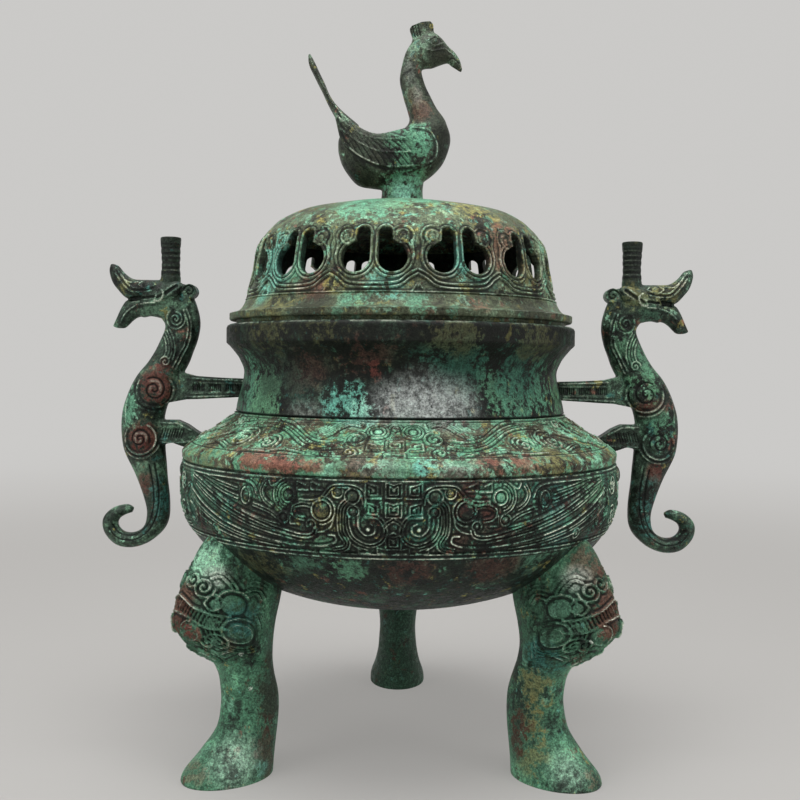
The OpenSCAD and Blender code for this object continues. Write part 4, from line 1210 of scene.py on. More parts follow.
def ball(centre, radius):
    """A ball with a very small flat at both poles."""
    t = np.linspace(-math.pi / 2 + 0.05, math.pi / 2 - 0.05, 14)
    return turned(radius * np.stack([np.cos(t), np.sin(t)], axis=1), 28, centre)


def joined(solids):
    """Points and faces of several solids in one."""
    all_points = []
    all_faces = []
    start = 0
    for points, faces in solids:
        all_points.append(points)
        all_faces.extend([[i + start for i in face] for face in faces])
        start += len(points)
    return np.vstack(all_points), all_faces


def grown_together(name, solids):
    """One skin round several solids: points and quads."""
    points, faces = joined(solids)
    mesh = bpy.data.meshes.new(name + "_rough")
    mesh.from_pydata((points * MM).tolist(), [], faces)
    holder = placed(name + "_rough", mesh)
    skin = holder.modifiers.new("skin", "REMESH")
    skin.mode = "VOXEL"
    skin.voxel_size = VOXEL * MM
    bpy.context.view_layer.update()
    grown = holder.evaluated_get(bpy.context.evaluated_depsgraph_get())
    made = grown.to_mesh()
    points = np.empty(len(made.vertices) * 3)
    made.vertices.foreach_get("co", points)
    quads = np.empty(len(made.loops), np.int32)
    made.loops.foreach_get("vertex_index", quads)
    grown.to_mesh_clear()
    bpy.data.objects.remove(holder)
    bpy.data.meshes.remove(mesh)
    return points.reshape(-1, 3) / MM, quads.reshape(-1, 4)


def smoothed(points, quads, rounds):
    """The points drawn towards the middle of their neighbours, and a little back to keep the volume."""
    start, end = np.concatenate([quads[:, [k, (k + 1) % 4]] for k in range(4)]).T
    count = np.bincount(start, minlength=len(points))[:, None]
    for k in range(rounds):
        for share in (0.5, -0.48):
            total = [np.bincount(start, points[end, axis], len(points)) for axis in range(3)]
            points = points + share * (np.stack(total, axis=1) / np.maximum(count, 1) - points)
    return points


def flank_relief(canvas, points, normals):
    """Relief that is drawn in side view, as seen on both flanks, and how far each point faces sideways."""
    facing = smooth_step(0.25, 0.75, np.abs(normals[:, 1]))
    return canvas.at(points[:, 0], points[:, 2]) * facing, facing


DRAGON_STATIONS = [
    [24.4, -45.9, 25.2, -48.4, 1.6],
    [27.8, -44.4, 27.6, -49.2, 3],
    [34.2, -46, 30.6, -50.9, 3.8],
    [38.8, -51, 31.6, -53.2, 4.2],
    [38, -58, 30.6, -55.6, 4.6],
    [32.4, -63.5, 28, -57.2, 4.8],
    [24, -64.4, 24, -57.2, 5.1],
    [15.5, -60.8, 20.4, -55, 5.5],
    [9.2, -54, 18.7, -51, 5.9],
    [7.6, -45, 19, -44, 6.4],
    [9, -30, 23.7, -30.5, 7],
    [10, -17, 29.5, -17.5, 7.8],
    [10, -2, 30, -2, 8],
    [4, 11.5, 25, 12.5, 8.5],
    [-2, 24, 16.5, 24, 7.5],
    [-6, 37, 10.5, 36.5, 6.6],
    [-4.5, 47.5, 11.5, 41, 6.8],
    [-0.5, 55.5, 13.5, 42, 7.2],
    [5, 58.5, 17, 42.5, 7.4],
    [11.5, 59.5, 20.5, 42, 7],
    [17, 59.5, 23, 44, 6]]
UPPER_JAW = [
    [12, 59, 14, 49, 6.6],
    [17, 59.5, 20, 50.5, 6],
    [21.5, 59.5, 25, 50.5, 5.2],
    [25.5, 60, 28.5, 51, 4.6],
    [29, 62.5, 32, 54.5, 4],
    [31.5, 65.5, 34.5, 58, 3.4],
    [33.5, 66.5, 36, 63, 2.4],
    [35, 66.8, 35.6, 66, 1.2]]
LOWER_JAW = [
    [15, 53, 13, 42.5, 6.2],
    [20, 52.5, 18, 42.5, 5.6],
    [24, 51, 22.5, 42, 4.9],
    [28, 50, 25, 40.5, 4.3],
    [30, 47.5, 27, 38.5, 3.8],
    [32.5, 42.5, 29, 37, 3.1],
    [34.5, 38, 32.5, 37, 1.6]]
EAR = [
    [13.8, 50, 13.8, 50.8, 0.8],
    [10.4, 49.6, 11.4, 54.2, 2],
    [6.2, 50.2, 7.6, 57.4, 2.6],
    [2.6, 52.2, 3.4, 58.4, 2.4],
    [0.6, 54.8, 0.8, 57.4, 1.2]]
EAR_Y = 6.8
NAPE_CURL = (-1.4, 54.2)
NAPE_CURL_R = 3.4
NAPE_CURL_HALF = 4.2
HORN_OUT = 7.8
SHOULDER_BOSS = (13.6, 9)
HIP_BOSS = (20.2, -13.6)
UPPER_STRUT = [[6, 18], [-4, 15.5], [-12, 15], [-28, 14.2], [-28, 5.9], [-9.5, 5], [-0.5, 4.5], [10, 2.5]]
LOWER_STRUT = [[14, -5], [4, -5], [-0.5, -7], [-5, -10.2], [-14, -15], [-14, -22], [2.5, -16.8], [6, -15.5],
               [16, -17.5]]
STRUT_HALF = 4.5
DRAGON_FOOT = np.array([BELLY_R, 0, NECK_ROOT_Z])


def dragon_canvas():
    """The dragon's drawing in side view: spirals, stripes, mouth, eye and the sunk panels of its struts."""
    c = Canvas((-30, -66), (42, 82), (1.0, 1.0))
    c.spiral(SHOULDER_BOSS, 5.8, 1.8, 60, 1, 1.0, -0.6)
    c.arc(SHOULDER_BOSS, 8.2, 150, 390, 1.0, 0.6)
    c.arc(SHOULDER_BOSS, 10.2, 210, 330, 0.9, 0.45)
    c.spiral(HIP_BOSS, 5.0, 1.7, 200, -1, 1.0, -0.6)
    c.arc(HIP_BOSS, 7.2, 120, 400, 1.0, 0.6)
    c.arc(HIP_BOSS, 9.0, 200, 330, 0.9, 0.45)
    c.spiral((4.2, 41.2), 3.4, 1.8, 90, 1, 0.8, 0.6)
    c.arc((4.2, 41.2), 4.4, 150, 420, 0.8, 0.5)
    c.spiral((8.6, 21.8), 2.6, 1.5, 0, 1, 0.8, 0.6)
    c.line([[8.8, 36.4], [6.4, 32], [5.6, 27], [6.6, 23.2]], 0.8, 0.5, sides=(0, 1.4, 2.8, -1.4))
    c.line([[-0.8, 46], [-2.8, 39], [-2.0, 31], [1.2, 24], [4.0, 18.4]], 0.8, 0.5, sides=(0, 1.4))
    c.line([[23.2, 13.6], [27, 4], [27.4, -6]], 0.8, 0.4)
    c.line([[13.4, -25], [11.6, -36], [12.0, -46], [15.6, -54.6], [23, -60.2], [31, -59.4], [35, -55]],
           0.9, -0.45, sides=(0, 2.4))
    c.line([[12.6, 50.9], [9.4, 52.2], [5.8, 54.6], [3.4, 56.2]], 2.0, -0.9)
    c.spiral(NAPE_CURL, 2.8, 1.4, 0, 1, 0.8, -0.5)
    # head
    c.boss((17.6, 57.2), 1.9, 0.6)
    c.line([[13.8, 57.0], [17.2, 59.2], [21.6, 57.2], [17.6, 54.9], [13.8, 57.0]], 0.8, 0.6)
    c.line([[15, 54.2], [20, 53.4], [25, 53.8], [29, 57.2], [32.6, 62.2]], 0.9, 0.6, sides=(0, 1.8))
    c.line([[14.4, 51.4], [20, 50.9], [26, 50.4]], 1.4, -0.9)
    c.line([[13.6, 48.6], [19, 48.2], [24, 46.8], [28.2, 43.2], [30.2, 39.4]], 0.9, 0.6)
    c.line([[22, 58.4], [26.6, 58.4], [30.6, 62.4], [32.6, 65]], 0.8, 0.5)
    c.arc((12.4, 52.2), 3.0, 100, 300, 0.8, 0.5)
    # struts
    c.straight([[-27, 13.4], [-12, 13.8], [-3, 14.2]], 0.9, 0.5)
    c.straight([[-27, 6.6], [-9.5, 6.0], [0, 5.6]], 0.9, 0.5)
    c.straight([[-27, 11.9], [-12, 12.2], [-4.5, 12.4]], 0.7, 0.3)
    c.straight([[-27, 8.0], [-9.5, 7.5], [-2, 7.2]], 0.7, 0.3)
    for k in range(24):
        at = -25.6 + 0.95 * k
        if k not in (8, 9, 16, 17):
            c.straight([[at, 8.6], [at, 11.4]], 0.75, -0.55)
    c.straight([[-2.6, -9.6], [3.6, -6.4], [11, -6.2]], 0.9, 0.45)
    c.straight([[-3.6, -14.6], [2.5, -15.4], [11, -15.4]], 0.9, 0.45)
    for k in range(9):
        at = 0.6 + 1.2 * k
        c.straight([[at, -9.2], [at + 1.2, -13.0]], 0.75, -0.55)
    return c


def bowl_surface_r(z):
    """Outer radius of the bowl at heights on its shoulder and neck."""
    line = np.vstack([[[BELLY_R, 110], [BELLY_R, 129]], shoulder_line(), neck_line()[1:]])
    return np.interp(z, line[:, 1], line[:, 0])


def dragon_solids():
    """The dragon that faces +X, on its handle line."""
    solids = [loft(DRAGON_STATIONS, 10, 40), loft(UPPER_JAW, 10, 32), loft(LOWER_JAW, 10, 32)]
    for side in (-1, 1):
        solids.append(loft(EAR, 8, 20, side * EAR_Y))
    horn = []
    for z in np.linspace(56, 79, 48):
        waist = np.interp(z, [60, 65.3, 74, 79], [4.72, 4.36, 4.52, 4.86])
        groove = 0.3 * smooth_step(0.5, 1, math.cos(2 * math.pi * (z - 58) / 3.2)) if 61 < z < 77 else 0.0
        horn.append([waist - groove, z])
    horn[-1][0] -= 0.35
    a = np.radians(np.arange(0, 360, 15))
    curl = np.array(NAPE_CURL) + NAPE_CURL_R * np.stack([np.cos(a), np.sin(a)], axis=1)
    solids.append(slab(curl, NAPE_CURL_HALF))
    solids.append(turned(horn, 40, (HORN_OUT, 0, 0)))
    solids.append(slab(UPPER_STRUT, STRUT_HALF))
    solids.append(slab(LOWER_STRUT, STRUT_HALF))
    solids.extend(dome_on_flank(SHOULDER_BOSS, 7.4, 7.6, 1.3))
    solids.extend(dome_on_flank(HIP_BOSS, 6.4, 7.4, 1.3))
    return solids


def dragons(canvas, material):
    """Both handles, the left one a mirror of the right one. Their struts end just inside the bowl's wall."""
    points, quads = grown_together("dragon", dragon_solids())
    points = smoothed(points, quads, 6)
    normals = vertex_normals(points, quads)
    relief, facing = flank_relief(canvas, points, normals)
    edges = flank_relief(canvas.contrast(1.8), points, normals)[0]
    lift = relief - 0.35 * facing + 0.1 * unevenness(points, 14, 21) - 0.1
    points = points + normals * lift[:, None] + DRAGON_FOOT
    reach = axis_distance(points)
    limit = bowl_surface_r(points[:, 2]) - 1.3
    inside = (reach < limit) & (points[:, 2] > 120) & (points[:, 0] < 100)
    points[:, :2] *= np.where(inside, limit / np.maximum(reach, 1), 1.0)[:, None]
    rise = points[:, 2] - DRAGON_FOOT[2]
    ringed = smooth_step(61, 62.5, rise) * smooth_step(77, 75, rise) * (points[:, 0] - DRAGON_FOOT[0] < 14)
    wear_and_light = edge_wear_and_light(1.5 * edges) + ringed * (0.4 * np.cos(2 * math.pi * rise / 2.2) - 0.15)
    flipped = points * np.array([-1, 1, 1])
    for name, shaped, faces in (("handle_right", points, quads), ("handle_left", flipped, quads[:, ::-1])):
        add_piece(name + "_cast", shaped, faces, wear_and_light, material, "vessel", [name])


BIRD_STATIONS = [
    [-29.5, 29, -29.5, 23, 3],
    [-28, 32.5, -28, 18, 6.5],
    [-25, 34, -25, 13, 9.5],
    [-20.5, 33.2, -20.5, 8.5, 11.4],
    [-14, 31.2, -14, 7, 12.2],
    [-6, 31.6, -7, 6.5, 12.4],
    [-1, 33.6, 1, 7.5, 12.4],
    [1.5, 35.6, 11, 11, 12.2],
    [2.6, 37.4, 18.5, 18.5, 11.4],
    [2.8, 39.2, 22, 29, 10],
    [2.3, 41, 20, 37, 8.6],
    [1.4, 44, 16, 43, 7.3],
    [0, 48.5, 13, 48.5, 6.2],
    [-1.5, 54.5, 10.5, 53.5, 5.4],
    [-1.5, 59.5, 9, 58, 5],
    [-0.5, 65, 8.6, 61, 5],
    [1.5, 70.5, 10.2, 61.7, 5.3],
    [5, 75.5, 13, 62, 5.7],
    [9, 78, 16, 63.2, 5.8],
    [13, 78.5, 18.8, 64.2, 5.3],
    [17, 76, 20.6, 64.4, 4.4],
    [20.5, 72.3, 22, 63.2, 3.3],
    [23.5, 69.5, 23.8, 62, 2.4],
    [25.8, 66, 25.4, 61, 1.6],
    [27, 62, 26.5, 60.5, 0.7]]
TAIL_STATIONS = [
    [-22, 26, -20, 36, 6],
    [-31.5, 39.5, -31, 45.5, 5.6],
    [-38, 52.5, -36, 55, 5],
    [-43, 62, -40, 63.5, 3.8],
    [-43.8, 67.6, -42.6, 68.2, 1.6]]
WING_STATIONS = [
    [17, 22, 15.6, 28.5, 0.8, 9.6],
    [14, 16.6, 11.8, 32.6, 2, 10.6],
    [6, 13.4, 5, 33.4, 2.4, 11.9],
    [-3.5, 11.6, -3.5, 31, 2.4, 12.6],
    [-11, 11.6, -11.5, 29.8, 2.4, 12.4],
    [-18, 15, -18, 32, 2.4, 11.4],
    [-24, 20.6, -24, 36.6, 2.2, 9.8],
    [-28.4, 28, -28.6, 41, 1.8, 8],
    [-31.4, 40, -31.8, 45.4, 0.9, 6.2]]
CREST = [[3, 72], [4, 75.5], [2.5, 79.5], [3.5, 81.2], [8, 83.1], [12, 83.5], [13.5, 82], [14, 74]]
CREST_HALF = 1.5
NECK_RISE = 50


def bird_canvas():
    """The bird's drawing in side view: feather rows on the wing, and the lines of its head and crest."""
    c = Canvas((-46, 0), (30, 85), (1.0, 1.0))
    rows = [
        [[-31, 44.5], [-24, 36], [-18, 31.4], [-11.5, 29.2], [-4, 30.2]],
        [[-29.6, 38], [-23, 32], [-15, 27.8], [-7, 26.6], [1, 27.2]],
        [[-28.2, 32.2], [-20.5, 26], [-11.5, 21.6], [-3.5, 20.8], [3.5, 21.4]],
        [[-26.4, 25.6], [-19, 19.4], [-10.5, 15.4], [-2.5, 14.6], [5, 15.4]]]
    for row in rows[1:]:
        c.line(row, 0.9, 0.6)
    for upper, lower in zip(rows[:-1], rows[1:]):
        a = curve(upper, 10)
        b = curve(lower, 10)
        for k in np.linspace(1, 36, 27).astype(int):
            c.straight([a[k], b[min(k + 5, 40)]], 0.65, 0.4)
    c.line([[4, 32.6], [10.6, 32.0], [14.6, 28.2], [15.6, 23.4], [14.6, 19.2], [11.6, 16.6]], 0.9, 0.5)
    c.arc((10.8, 22.6), 2.2, 0, 300, 0.7, 0.18)
    # head
    c.boss((14.2, 73.0), 1.5, 0.5)
    c.line([[10.6, 73.2], [14.2, 75.4], [18.0, 73.0], [14.2, 70.9], [10.6, 73.2]], 0.7, 0.5)
    c.line([[9.4, 69.6], [14, 68.6], [19, 69.8], [22.6, 67.6]], 0.8, 0.5)
    c.line([[19.4, 64.6], [22.6, 66.2], [25.4, 64.2]], 0.8, -0.4)
    for k in range(4):
        c.straight([[2.6 + 1.2 * k, 80.6 + 0.5 * k], [4.0 + 1.2 * k, 75.6 + 0.4 * k]], 0.7, -0.6)
    # tail
    for k in range(2):
        c.line([[-27 - k, 38 + 2 * k], [-34 - k, 48.6 + 1.6 * k], [-41.4 - 0.4 * k, 62.4 + k]], 0.8, 0.4)
    return c


def bird(canvas, material):
    """The bird on its post. Its foot sits on the flat of the lid's crown."""
    post = curve([[10.2, 0.02], [9.7, 3], [9.6, 6], [9.9, 9], [10.2, 13]], 6)
    wing, faces = loft(WING_STATIONS, 8, 24)
    solids = [loft(BIRD_STATIONS, 8, 44),
              loft(TAIL_STATIONS, 8, 28),
              turned(post, 60),
              (wing, faces),
              (wing * np.array([1, -1, 1]), [face[::-1] for face in faces]),
              slab(CREST, CREST_HALF),
              ball((14, -4.3, 73), 1.6),
              ball((14, 4.3, 73), 1.6)]
    points, quads = grown_together("bird", solids)
    points = smoothed(points, quads, 5)
    normals = vertex_normals(points, quads)
    relief, facing = flank_relief(canvas, points, normals)
    lift = relief - 0.25 * facing + 0.12 * unevenness(points, 12, 33) - 0.12
    points = points + normals * (lift * smooth_step(0.3, 2, points[:, 2]))[:, None]
    points[:, 2] = np.maximum(points[:, 2], 0)
    edges = flank_relief(canvas.contrast(1.6), points, normals)[0]
    wear_and_light = edge_wear_and_light(np.where(points[:, 2] < NECK_RISE, 1.6, 0.9) * edges)
    points = points + np.array([0, 0, CROWN_Z])
    add_piece("bird_finial_cast", points, quads, wear_and_light, material, "lid", ["bird_finial"])


# Rivets

HEAD_RISE = 2.6
HEAD_OVER = 3.0


def rivet(name, places, radius, length, material, body, node):
    """Round-headed rivets. Each place is the middle of a head's seat and the way that the head points."""
    head = radius + HEAD_OVER
    dome = np.linspace(0.1, 1, 14) * math.pi / 2
    profile = np.vstack([
        [[0.05, -length], [radius, -length + 0.4], [radius, 0], [head - 0.3, 0], [head, 0.3]],
        np.stack([np.maximum(head * np.cos(dome), 0.05), 0.3 + HEAD_RISE * np.sin(dome)], axis=1)])
    local, faces = turned(profile, 56)
    solids = []
    for seed, (seat, way) in enumerate(places, 41):
        turn = np.array(Vector((0, 0, 1)).rotation_difference(Vector(way)).to_matrix())
        dents = 0.08 * unevenness(local, 5, seed)[:, None] * np.array([1, 1, 0.6])
        shaped = local + np.where(local[:, 2:] > 0.5, dents - 0.08, 0)
        solids.append((shaped @ turn.T + np.asarray(seat), faces))
    points, faces = joined(solids)
    quads = np.array([face for face in faces if len(face) == 4])
    ends = [face for face in faces if len(face) > 4]
    add_piece(name, points, quads, PLAIN, material, body, [node], ends, crease=180)


def rivets(material):
    """The rivets of the legs and the handles, with heads inside the bowl, and the one under the crown."""
    pad = WALL + 1.5
    joint_r = 79.0
    joint_z = BELLY_Z - LOWER_DEPTH * math.sqrt(1 - (joint_r / BELLY_R) ** 2)
    way = np.array([-joint_r / BELLY_R ** 2, 0, (BELLY_Z - joint_z) / LOWER_DEPTH ** 2])
    way /= np.linalg.norm(way)
    seat = np.array([joint_r, 0, joint_z]) + pad * way
    places = [(spun(seat, turn), spun(way, turn)) for turn in (LEG_LEFT, LEG_RIGHT, LEG_BACK)]
    rivet("leg_rivet_heads", places, 4.0, 18, material, "vessel", "leg_rivets")
    seat_r = 67.6
    seat_z = 160.8
    places = [((side * seat_r, 0, seat_z), (-side, 0, 0)) for side in (1, -1)]
    rivet("handle_rivet_heads", places, 2.6, 14, material, "vessel", "handle_rivets")
    places = [((0, 0, CROWN_Z - CROWN_PAD), (0, 0, -1))]
    rivet("finial_rivet_head", places, 3.5, 19, material, "lid", "finial_rivet")


# Stage

OBJECT_MIDDLE = (0, 0, 0.16)
SURROUND = 0.36
CAMERA_LENS = 46.35
CAMERA_AWAY = 0.4767
CAMERA_Z = 0.1708
CAMERA_TILT = 1.78
CAMERA_ROLL = 0.6


def sweep_material():
    """Plain pale grey. The camera sees part of it unshaded, so that the object's shadow on it stays light."""
    material, n = blank_material("pale_sweep")
    place = n.new("NewGeometry").outputs["Position"]
    away = n.length(n.vector("MULTIPLY", place, (1, 1, 0)))
    colour = n.mix(n.ramp(away, 0.4, 1.6), FLOOR_TONE, BACKDROP_TONE)
    shader = n.new("BsdfPrincipled", {"Base Color": colour, "Roughness": 0.9, "Specular IOR Level": 0.2})
    glow = n.new("Emission", {"Color": colour})
    path = n.new("LightPath").outputs
    seen = n.math("ADD", path["Is Camera Ray"], path["Is Glossy Ray"])
    seen = n.math("MINIMUM", n.math("ADD", seen, path["Is Transmission Ray"]), 1.0)
    both = n.new("MixShader", {0: n.times(seen, n.ramp(away, 0.2, 1.0, 0.5, 0.97)),
                               1: shader.outputs["BSDF"],
                               2: glow.outputs["Emission"]})
    n.new("OutputMaterial", {"Surface": both.outputs["Shader"]})
    return material


def sweep():
    """A floor that curves up into a backdrop."""
    half = 3.0
    front = -2.5
    bend_y = 1.2
    bend = 0.8
    top = 3.5
    line = [[front, 0], [bend_y, 0]]
    for t in np.linspace(0, math.pi / 2, 24):
        line.append([bend_y + bend * math.sin(t), bend - bend * math.cos(t)])
    line.append([bend_y + bend, top])
    points = [(side * half, y, z) for y, z in line for side in (-1, 1)]
    faces = [(2 * k, 2 * k + 1, 2 * k + 3, 2 * k + 2) for k in range(len(line) - 1)]
    mesh = bpy.data.meshes.new("sweep")
    mesh.from_pydata(points, [], faces)
    mesh.shade_smooth()
    mesh.materials.append(sweep_material())
    placed("sweep", mesh)


def area_light(name, place, size, power):
    """A soft lamp that looks at the middle of the object. Places and sizes are in metres."""
    light = bpy.data.lights.new(name, "AREA")
    light.shape = "RECTANGLE"
    light.size = size[0]
    light.size_y = size[1]
    light.energy = power
    lamp = placed(name, light)
    lamp.location = place
    lamp.rotation_euler = (Vector(OBJECT_MIDDLE) - Vector(place)).to_track_quat("-Z", "Y").to_euler()


def studio():
    """Soft light from above and from both sides, and an even pale surround."""
    world = bpy.data.worlds.new("studio")
    bpy.context.scene.world = world
    world.use_nodes = True
    ground = world.node_tree.nodes["Background"]
    ground.inputs["Color"].default_value = (1, 1, 1, 1)
    ground.inputs["Strength"].default_value = SURROUND
    area_light("top", (0.0, -0.2, 1.2), (1.0, 0.8), 13)
    area_light("left", (-0.95, -0.7, 0.6), (0.6, 0.8), 3.5)
    area_light("right", (0.95, -0.6, 0.5), (0.5, 0.8), 2.5)


def camera():
    """The photograph's view, from a little above the middle of the neck."""
    data = bpy.data.cameras.new("view")
    data.lens = CAMERA_LENS
    data.sensor_width = 36
    data.clip_end = 20
    shot = placed("view", data)
    shot.location = (0.0, AXIS_Y * MM - CAMERA_AWAY, CAMERA_Z)
    shot.rotation_euler = (math.radians(90 - CAMERA_TILT), 0, 0)
    shot.rotation_euler.rotate_axis("Z", math.radians(CAMERA_ROLL))
    bpy.context.scene.camera = shot


# Spots of other colours in the patina, and spots of painted shade and painted highlights

def on_vessel(angle, height, radius):
    """A place on the vessel, by its angle in degrees to the right of the front."""
    a = math.radians(angle)
    return (radius * math.sin(a), -radius * math.cos(a), height)


def on_leg(turn):
    """A maker of places on a leg, by how far out from the axis, how far to its left and how high."""
    def place(out, left, height):
        return tuple(spun((out, left, height), turn))
    return place


def on_handle(side, out, rise):
    """A place on the front of a handle, out from its handle line and up from the neck's root."""
    return (side * (DRAGON_FOOT[0] + out), -8.5, DRAGON_FOOT[2] + rise)


def on_bird(x, y, rise):
    """A place on the bird, by its rise above the crown."""
    return (x, y, CROWN_Z + rise)


def spots(place, rows):
    """Spots from rows of a place, a radius, a colour, a strength and, where it isn't 1, a squash."""
    return [(place(*row[:3]), *row[3:6], *(row[6:] or (1.0,))) for row in rows]


BOWL_PATCHES = spots(on_vessel, [
    (-36, 134.5, 98, 10, CUPRITE, 0.9, 2.0),
    (-28, 134.5, 98, 10, CUPRITE, 0.9, 2.0),
    (-20, 134.5, 98, 7, CUPRITE, 0.8, 2.0),
    (5.8, 134.5, 98, 5, TURQUOISE, 0.9, 1.3),
    (-10, 133.5, 98, 9, CHESTNUT, 0.7, 2.0),
    (-14, 135, 98, 6, MOSS, 0.7, 1.6),
    (-1, 135, 98, 7, MOSS, 0.7, 1.6),
    (22, 134.5, 98, 9, CUPRITE, 0.8, 2.2),
    (29, 134.5, 98, 9, CUPRITE, 0.8, 2.2),
    (40, 134, 98, 12, KHAKI, 0.8, 2.0),
    (-55, 134, 98, 12, KHAKI, 0.7, 2.0),
    (-17, 157, 74, 10, TURQUOISE, 0.85),
    (-11, 153, 74, 7, AQUA, 0.85),
    (-33, 160, 74, 8, SPRUCE, 0.7),
    (-62, 159, 74, 16, MALACHITE, 0.7, 0.9),
    (-50, 157, 74, 12, LEAF, 0.85, 0.8),
    (-74, 158, 74, 12, FOREST, 0.7, 0.6),
    (30, 163, 74, 8, MOSS, 0.8, 0.7),
    (40, 158, 74, 11, MALACHITE, 0.6, 0.7),
    (53, 158, 74, 12, MALACHITE, 0.6, 0.7),
    (68, 158, 74, 14, LEAF, 0.6, 0.7),
    (-33, 168, 73, 12, LIVER, 0.6),
    (-12, 176, 73, 13, LIVER, 0.6, 1.2),
    (-8, 169, 73, 3.5, RUST, 0.7, 0.7),
    (18, 171, 73, 18, SPRUCE, 0.7, 1.2),
    (42, 172, 73, 16, SPRUCE, 0.7),
    (-45, 171, 73, 16, PINE, 0.7),
    (-44, 186, 77, 13, PEAT, 0.75, 1.2),
    (-22, 186, 77, 10, PEAT, 0.75, 1.2),
    (16, 186, 77, 13, PEAT, 0.75, 1.2),
    (46, 186, 77, 15, PEAT, 0.8, 1.2),
    (-13, 92, 91, 9, MOSS, 0.8, 1.2),
    (-24, 98, 93, 8, FOREST, 0.8, 1.4),
    (2, 94, 91, 12, LIVER, 0.7, 1.4),
    (-38, 92, 88, 12, PEAT, 0.7, 1.2),
    (24, 95, 91, 12, LIVER, 0.7, 1.2),
    (38, 100, 93, 10, FOREST, 0.8, 1.2)])
BELLY_PATCHES = spots(on_vessel, [
    (-16, 114, 98, 7, KHAKI, 0.7, 1.2),
    (-26, 122, 98, 8, LEAF, 0.8, 1.2),
    (-52, 122, 98, 16, FOREST, 0.7),
    (-18, 104, 96, 8, MOSS, 0.8, 1.6),
    (-70, 108, 97, 16, FOREST, 0.7),
    (22, 125, 98, 9, MALACHITE, 0.8, 1.8),
    (24, 109, 97, 9, LIVER, 0.8, 1.2),
    (14, 106, 97, 6, LIVER, 0.8, 1.2),
    (38, 118, 98, 13, LAGOON, 0.7, 1.4),
    (52, 124, 98, 12, LEAF, 0.8, 1.4),
    (40, 104, 96, 10, LAGOON, 0.7, 2.0),
    (66, 112, 98, 16, FOREST, 0.7)])
# Painted reflections of the lamps on the neck, and painted sheens on the plain band.
BOWL_PAINTED_SHEENS = spots(on_vessel, [
    (-2, 156, 74, 10, REFLECTION_GREY, 0.75),
    (7, 157.5, 74, 12, REFLECTION_GREY, 0.85),
    (17, 155.5, 74, 11, REFLECTION_GREY, 0.7),
    (-31, 152.5, 74, 9, SHEEN_GREY, 0.6, 1.8),
    (-5, 133.5, 98, 11, SHEEN_GREY, 0.45, 2.4),
    (13, 133.2, 98, 10, SHEEN_GREY, 0.55, 2.4)])
LID_PATCHES = spots(on_vessel, [
    (-5, 204, 70, 9, TURQUOISE, 0.7, 1.2),
    (20.5, 214, 67, 7, TURQUOISE, 0.9, 0.6),
    (-52, 212, 67, 12, TURQUOISE, 0.8, 0.7),
    (-36, 216, 66, 8, MALACHITE, 0.8, 0.6),
    (-30, 203.5, 70, 9, CUPRITE, 0.8, 1.4),
    (-22, 205, 69, 6, STRAW, 0.8, 1.2),
    (40, 222, 65, 14, CUPRITE, 0.7),
    (52, 210, 67, 12, KHAKI, 0.7),
    (34, 237, 55, 11, STRAW, 0.7),
    (24, 240, 48, 6, STRAW, 0.7),
    (-2, 238, 52, 8, STRAW, 0.7),
    (-14, 240, 50, 18, MALACHITE, 0.8),
    (12, 241, 44, 12, MALACHITE, 0.8),
    (-42, 238, 52, 12, PEAT, 0.7),
    (55, 236, 55, 10, PEAT, 0.7),
    (10, 207, 69, 12, UMBER, 0.8),
    (28, 205, 70, 9, PINE, 0.8, 1.2),
    (-14, 198, 73, 8, MALACHITE, 0.6, 1.4),
    (6, 196, 75, 7, MALACHITE, 0.6, 1.4),
    (24, 196, 75, 6, CUPRITE, 0.6, 1.4),
    (-45, 196, 75, 12, KHAKI, 0.7, 1.4),
    (44, 195, 75, 12, UMBER, 0.8, 1.4),
    (-28, 195, 76, 10, UMBER, 0.8, 1.4)])
LEG_PATCHES = spots(on_leg(LEG_LEFT), [
    (101, 4, 93, 10, MINT, 0.8),
    (110, 3, 72, 10, RUST, 0.85, 0.8),
    (108, 8, 64, 5, RUST, 0.8),
    (94, 14, 58, 5, CHESTNUT, 0.6),
    (100, 13, 74, 9, FOREST, 0.8),
    (88, 14, 68, 8, LAGOON, 0.8),
    (71, 9, 36, 9, UMBER, 0.9, 0.5),
    (74, 12, 12, 8, LIVER, 0.8, 0.6),
    (100, 2, 4, 8, CHESTNUT, 0.7, 1.4),
    (78, 14, 5, 5, TURQUOISE, 0.55, 1.3),
    # tiny pale specks: white crystals in the patina and painted glints
    (88, 14, 54, 1.4, PALE, 1.0),
    (82, 10.5, 38, 1.4, PALE, 1.0)])
LEG_PATCHES += spots(on_leg(LEG_RIGHT), [
    (107, -5, 73, 10, RUST, 0.85, 0.9),
    (100, -4, 92, 9, CHESTNUT, 0.8),
    (96, -13, 76, 9, FOREST, 0.8),
    (84, -11, 52, 10, LAGOON, 0.8),
    (78, -10, 37, 10, KHAKI, 0.8, 0.8),
    (76, -10, 25, 9, KHAKI, 0.8, 0.8),
    (79, -12, 13, 8, KHAKI, 0.7, 0.8),
    (71, -10, 22, 7, LIVER, 0.9, 0.5),
    (104, -2, 4, 8, CHESTNUT, 0.7, 1.4),
    # a tiny pale speck: white crystals in the patina and a painted glint
    (104, -10, 63, 1.4, PALE, 1.0)])
# The back leg is painted dark all over: dark patina and painted shade.
LEG_PATCHES += spots(on_leg(LEG_BACK), [(78, 0, 40, 75, BLACK, 0.8)])
